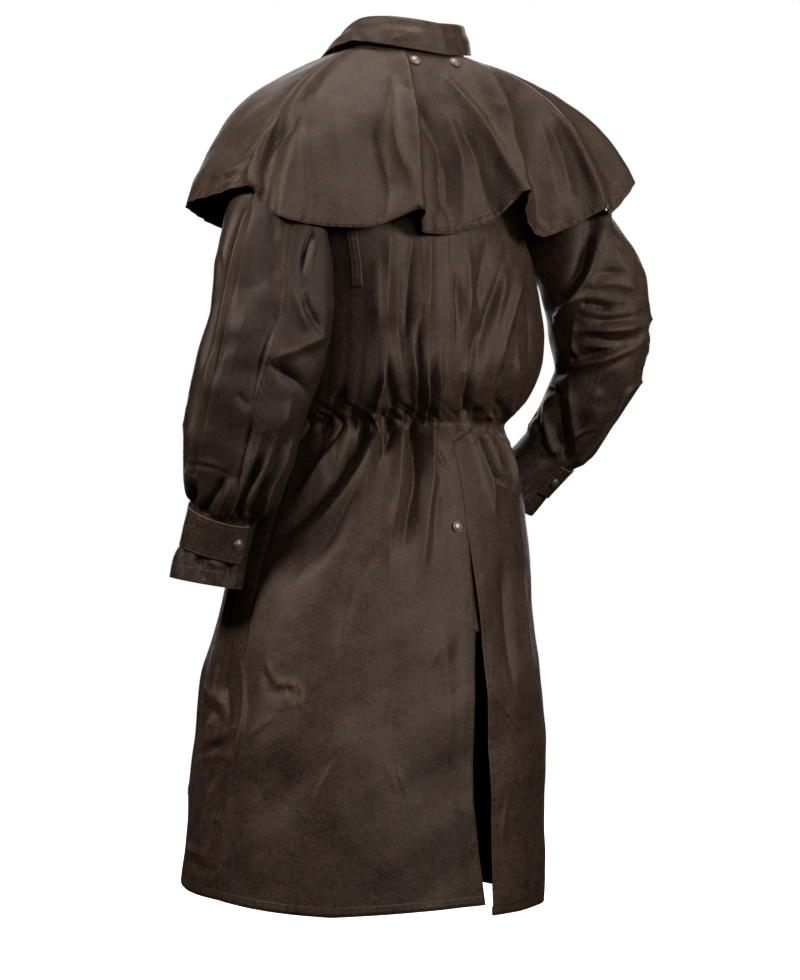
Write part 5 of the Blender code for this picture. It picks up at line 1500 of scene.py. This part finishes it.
def waist_cord(height):
    """The drawn-in line of the cord and the fuller cloth above and below it."""
    from_cord = height - WAIST
    fuller = np.exp(-((np.abs(from_cord) - CORD_BULGE_AT) / CORD_BULGE_WIDE) ** 2)
    return CORD_BULGE * fuller - CORD_DIP * np.exp(-(from_cord / CORD_DIP_WIDE) ** 2)


def body_slack(grid):
    """Broad uneven slackness of the skirt and blouse."""
    height = grid[..., 2]
    blouse = between(BLOUSE_SLACK, height) * (1 - between(BLOUSE_SLACK_END, height))
    return slackness(grid, BODY_SLACK) * (between(SKIRT_SLACK, height)
                                          + BLOUSE_SLACK_SHARE * blouse)


def make_body(looks):
    """The four panels, shaped as one. Gives back the shaped grid, its normals and columns."""
    order = (("front_left", 1, False), ("back_left", 1, True), ("back_right", -1, True),
             ("front_right", -1, False))
    grids = [body_panel(side, back) for _, side, back in order]
    outs = [grid_normals(grid) for grid in grids]
    for k in range(len(order)):
        after = (k + 1) % len(order)
        shared = unit(outs[k][:, -1] + outs[after][:, 0])
        outs[k][:, -1], outs[after][:, 0] = shared, shared
    back_left = grids[1]
    from_edge = lengths_along(back_left[:, ::-1], 1)[:, ::-1]
    lap = between(OVERLAP_REACH, from_edge) * smooth(OVERLAP_FROM, OVERLAP_FULL,
                                                     back_left[..., 2])
    grids[1] = back_left + outs[1] * (lap * OVERLAP_LIFT)[..., None]
    ends = np.cumsum([0] + [grid.shape[1] for grid in grids])
    whole, out = np.concatenate(grids, axis=1), np.concatenate(outs, axis=1)
    shaped, rub_and_highlight = crease(whole, out, BODY_CREASES)
    rise = np.sum((shaped - whole) * out, axis=-1) + waist_gathers(whole)
    rise += waist_cord(whole[..., 2]) + body_slack(whole)
    rise = calm_near(whole, rise, [middle_of("vent_snap")])
    shaped = whole + out * rise[..., None]
    columns = {}
    for k, (node, _, _) in enumerate(order):
        part = columns[node] = slice(ends[k], ends[k + 1])
        normals = grid_normals(shaped[:, part])
        piece, flat = cloth(node, shaped[:, part], normals, rub_and_highlight[:, part], looks[node], HEMS[node])
    left = columns["back_left"]
    snap("vent_snap", shaped[:, left], out[:, left], looks["snaps"])
    return shaped, out, columns


def make_front_closing(body, looks):
    """The flap over the front edges, and its snaps."""
    shaped, out, columns = body
    rows = (shaped[:, 0, 2] > FLAP_BOTTOM) & (shaped[:, 0, 2] < FLAP_TOP)
    start, stop = columns["front_left"].start, columns["front_right"].stop
    picked = [*range(stop - FLAP_REACH, stop), *range(start + 1, start + FLAP_REACH)]
    out = out[rows][:, picked]
    piece, flat, grid = strip("front_flap", shaped[rows][:, picked], out, looks["strap"],
                              HEMS["front_flap"])
    for number in range(1, FRONT_SNAPS + 1):
        snap(f"front_snap_{number}", grid, out, looks["snaps"])


def make_vent_gusset(looks):
    """The inset behind the slit."""
    heights = np.linspace(GUSSET_LOW, GUSSET_HIGH, GUSSET_ROWS)[:, None]
    reach = np.linspace(GUSSET_LEFT, GUSSET_RIGHT, GUSSET_COLUMNS)[None]
    grid = body_place(turn_at(reach + 0 * heights, heights), heights)
    normals = grid_normals(grid)
    grid = grid - normals * GUSSET_DEPTH
    piece, flat = cloth("vent_gusset", grid, normals, np.zeros(grid.shape[:2]), looks["plain"],
                        HEMS["vent_gusset"])


def make_cape_strap(body, looks):
    """A narrow stitched strip on the left back beside the armhole."""
    shaped, out, columns = body
    start, stop = (columns["back_left"].start + round(share * BACK_COLUMNS)
                   for share in (LOOP_FROM, LOOP_TO))
    height = shaped[:, start, 2]
    rows = (height > LOOP_LOW) & (height < LOOP_HIGH)
    piece, flat, _ = strip("cape_strap", shaped[rows, start:stop], out[rows, start:stop],
                           looks["strap"], HEMS["cape_strap"], lift=LOOP_LIFT)


def cuff_gathers(places, count, seed):
    """Uneven gathers from the cuff strap up the sleeve and a little below it."""
    random = np.random.default_rng(seed)
    around = np.arange(count) / count
    rise = np.zeros((len(places), count))
    at = 0.0
    while at < 1.0:
        wide, deep = random.uniform(*CUFF_WIDE), random.uniform(*CUFF_DEEP)
        top = random.uniform(*CUFF_TOP)
        lean = random.normal(0, CUFF_LEAN)
        off = (around[None] - at - lean * (places[:, None] - STRAP_RINGS[0])) % 1.0
        off = np.minimum(off, 1 - off)
        reach = smooth(top, CUFF_FULL, places) * (1 - between(CUFF_END, places))
        below = between(BELOW_STRAP_FROM, places) * (1 - between(BELOW_STRAP_TO, places))
        reach = reach + below * BELOW_STRAP_SHARE
        rise -= deep * np.exp(-(off / wide) ** CUFF_POWER) * reach[:, None]
        at += random.uniform(*CUFF_STEP)
    return rise + CUFF_SWELL * between(CUFF_SWELL_FROM, places)[:, None]


def sleeve_columns(column):
    """The fine column that lies at a column of the CAD sleeve."""
    return round(column / CAD_SLEEVE_COLUMNS * SLEEVE_COLUMNS)


def make_sleeve(side, table, looks):
    """Top and under sleeve, the cuff strap and its snap."""
    word = "left" if side > 0 else "right"
    grid, places = sleeve_grid(table, side)
    out = grid_normals(grid, closed=True) * side
    shaped, rub_and_highlight = crease(grid, out, SLEEVE_CREASES[word])
    rise = np.sum((shaped - grid) * out, axis=-1)
    rise += cuff_gathers(places, SLEEVE_COLUMNS, CUFF_SEED + side)
    loose = between(LOOSE_FROM, places) * (1 - between(LOOSE_TO, places))
    rise += slackness(grid, SLEEVE_SLACK) * loose[:, None]
    pressed = between(PRESSED_FROM, places) * (1 - between(PRESSED_TO, places))
    rise = rise * ((1 - PRESSED_SHARE * pressed) * between(SET_IN, places))[:, None]
    shaped = grid + out * rise[..., None]
    normals = grid_normals(shaped, closed=True) * side
    first, last = (sleeve_columns(column) for column in SLEEVE_SEAMS)
    top = [j % SLEEVE_COLUMNS for j in range(last, SLEEVE_COLUMNS + first + 1)]
    under = list(range(first, last + 1))
    for part, columns in (("top", top), ("under", under)):
        node = f"sleeve_{word}_{part}"
        piece, flat = cloth(node, shaped[:, columns], normals[:, columns], rub_and_highlight[:, columns],
                            looks["sleeve_" + word], HEMS["sleeve"])
    rows = (places >= STRAP_RINGS[0]) & (places <= STRAP_RINGS[1])
    start, stop = (sleeve_columns(column) for column in STRAP_COLUMNS)
    columns = [j % SLEEVE_COLUMNS for j in range(start, stop + 1)]
    out = out[rows][:, columns]
    piece, flat, grid = strip(f"cuff_strap_{word}", grid[rows][:, columns], out, looks["strap"],
                              HEMS["cuff_strap"], rounds=CUFF_STRIP_ROUNDS)
    snap(f"cuff_snap_{word}", grid, out, looks["snaps"])


def make_cape(looks):
    """The shoulder cape, fluted from the neck to its hem, and the two snaps on it."""
    grid = cape_grid()
    out = -grid_normals(grid)
    shaped, rub_and_highlight = crease(grid, out, CAPE_CREASES)
    rise = np.sum((shaped - grid) * out, axis=-1)
    far = lengths_along(grid[::-1], 0)[::-1]
    rise += slackness(grid, CAPE_SLACK) * between(CAPE_SLACK_FROM, lengths_along(grid, 0))
    run = lengths_along(grid, 1)
    drift = HEM_WAVE_DRIFT * np.sin(run[-1:] * HEM_WAVE_BEAT)
    wave = np.sin(run[-1:] * 2 * math.pi / HEM_WAVE + drift)
    rise += wave * HEM_WAVE_HIGH * smooth(HEM_WAVE_REACH, 0.0, far)
    snaps = ("collar_snap_left", "collar_snap_right")
    rise = calm_near(grid, rise, [middle_of(node) for node in snaps])
    shaped = grid + out * rise[..., None]
    normals = -grid_normals(shaped)
    piece, _ = cloth("cape", shaped, normals, rub_and_highlight, looks["cape"], HEMS["cape"])
    for node in snaps:
        snap(node, shaped, out, looks["snaps"])


def make_collar(looks):
    """The stand round the neck and the fall that turns over it."""
    stand, fall = collar_grids()
    out = -grid_normals(stand)
    out = out * np.sign(out[0, COLLAR_MIDDLE, 1])
    piece, flat = cloth("collar_stand", stand, out, np.zeros(stand.shape[:2]), looks["plain"])
    out = -grid_normals(fall)
    shaped, rub_and_highlight = crease(fall, out, COLLAR_CREASES)
    wave = slackness(fall, COLLAR_SLACK) * between(COLLAR_SLACK_FROM, lengths_along(fall, 0))
    shaped = shaped + out * wave[..., None]
    piece, flat = cloth("collar_fall", shaped, -grid_normals(shaped), rub_and_highlight, looks["collar"],
                        HEMS["collar_fall"])


def set_stage():
    """A wide pale floor, soft boxes of light, white beyond, and the photograph's camera."""
    angle = math.radians(CAMERA_AZIMUTH)
    right = Vector((math.cos(angle), math.sin(angle), 0.0))
    near = Vector((math.sin(angle), -math.cos(angle), 0.0))
    aim = right * CAMERA_SHIFT + Vector((0, 0, CAMERA_HEIGHT))
    camera = bpy.data.objects.new("camera", bpy.data.cameras.new("camera"))
    camera.data.lens = CAMERA_LENS
    camera.location = aim + near * CAMERA_DISTANCE
    camera.rotation_euler = (aim - camera.location).to_track_quat("-Z", "Y").to_euler()
    bpy.context.scene.collection.objects.link(camera)
    bpy.context.scene.camera = camera

    floor = Shader("floor")
    shade = floor.node("BsdfPrincipled", 0, {}, {"Base Color": (*FLOOR_GREY, 1.0),
                                                 "Roughness": FLOOR_ROUGH,
                                                 "Emission Color": (*WHITE, 1.0),
                                                 "Emission Strength": FLOOR_GLOW})
    floor.output(shade)
    mesh = bpy.data.meshes.new("floor")
    corners = [(x * FLOOR_HALF, y * FLOOR_HALF, FLOOR_LEVEL)
               for x, y in ((-1, -1), (1, -1), (1, 1), (-1, 1))]
    mesh.from_pydata(corners, [], [(0, 1, 2, 3)])
    mesh.materials.append(floor.material)
    ground = bpy.data.objects.new("floor", mesh)
    bpy.context.scene.collection.objects.link(ground)
    ground.visible_diffuse = ground.visible_glossy = False

    for name, across, toward, high, wide, tall, power in LIGHTS:
        light = bpy.data.lights.new(name, "AREA")
        light.shape = "RECTANGLE"
        light.size, light.size_y, light.energy = wide, tall, power
        lamp = bpy.data.objects.new(name, light)
        lamp.location = right * across + near * toward + Vector((0, 0, high))
        way = Vector((0, 0, LIGHT_AIM)) - lamp.location
        lamp.rotation_euler = way.to_track_quat("-Z", "Y").to_euler()
        bpy.context.scene.collection.objects.link(lamp)

    world = bpy.data.worlds.new("studio")
    world.use_nodes = True
    world.node_tree.nodes["Background"].inputs["Color"].default_value = (*WHITE, 1.0)
    world.cycles_visibility.diffuse = world.cycles_visibility.glossy = False
    bpy.context.scene.world = world
    bpy.context.scene.view_settings.view_transform = "Standard"


def make_looks():
    """One material for each way that a piece is sewn, the two sleeves' apart by their painted shade."""
    return {
        "back_left": oilskin("oilskin_back_left", first="fell", last="vent_edge",
                             low="skirt_hem"),
        "back_right": oilskin("oilskin_back_right", first="vent_edge", last="seam",
                              low="skirt_hem"),
        "front_left": oilskin("oilskin_front_left", last="seam", low="skirt_hem"),
        "front_right": oilskin("oilskin_front_right", first="fell", low="skirt_hem"),
        # The sleeves are shaded copies of one cloth, each with its own share of painted shade
        "sleeve_left": oilskin("oilskin_sleeve_left_painted_shade", LEFT_SLEEVE_PAINTED_SHADE, first="seam",
                               last="fell", low="seam", high="cuff_hem"),
        "sleeve_right": oilskin("oilskin_sleeve_right_painted_shade", RIGHT_SLEEVE_PAINTED_SHADE, first="seam",
                                last="fell", low="seam", high="cuff_hem"),
        "cape": oilskin("oilskin_cape", first="cape_hem", last="cape_hem", high="cape_hem"),
        "collar": oilskin("oilskin_collar", first="edge", last="edge", high="edge"),
        "strap": oilskin("oilskin_strap", first="edge", last="edge", low="edge", high="edge"),
        "plain": oilskin("oilskin_plain"),
        "snaps": copper("old_copper"),
    }


set_stage()
looks = make_looks()
body = make_body(looks)
make_front_closing(body, looks)
make_vent_gusset(looks)
make_cape_strap(body, looks)
make_sleeve(1, LEFT_SLEEVE, looks)
make_sleeve(-1, RIGHT_SLEEVE, looks)
make_cape(looks)
make_collar(looks)
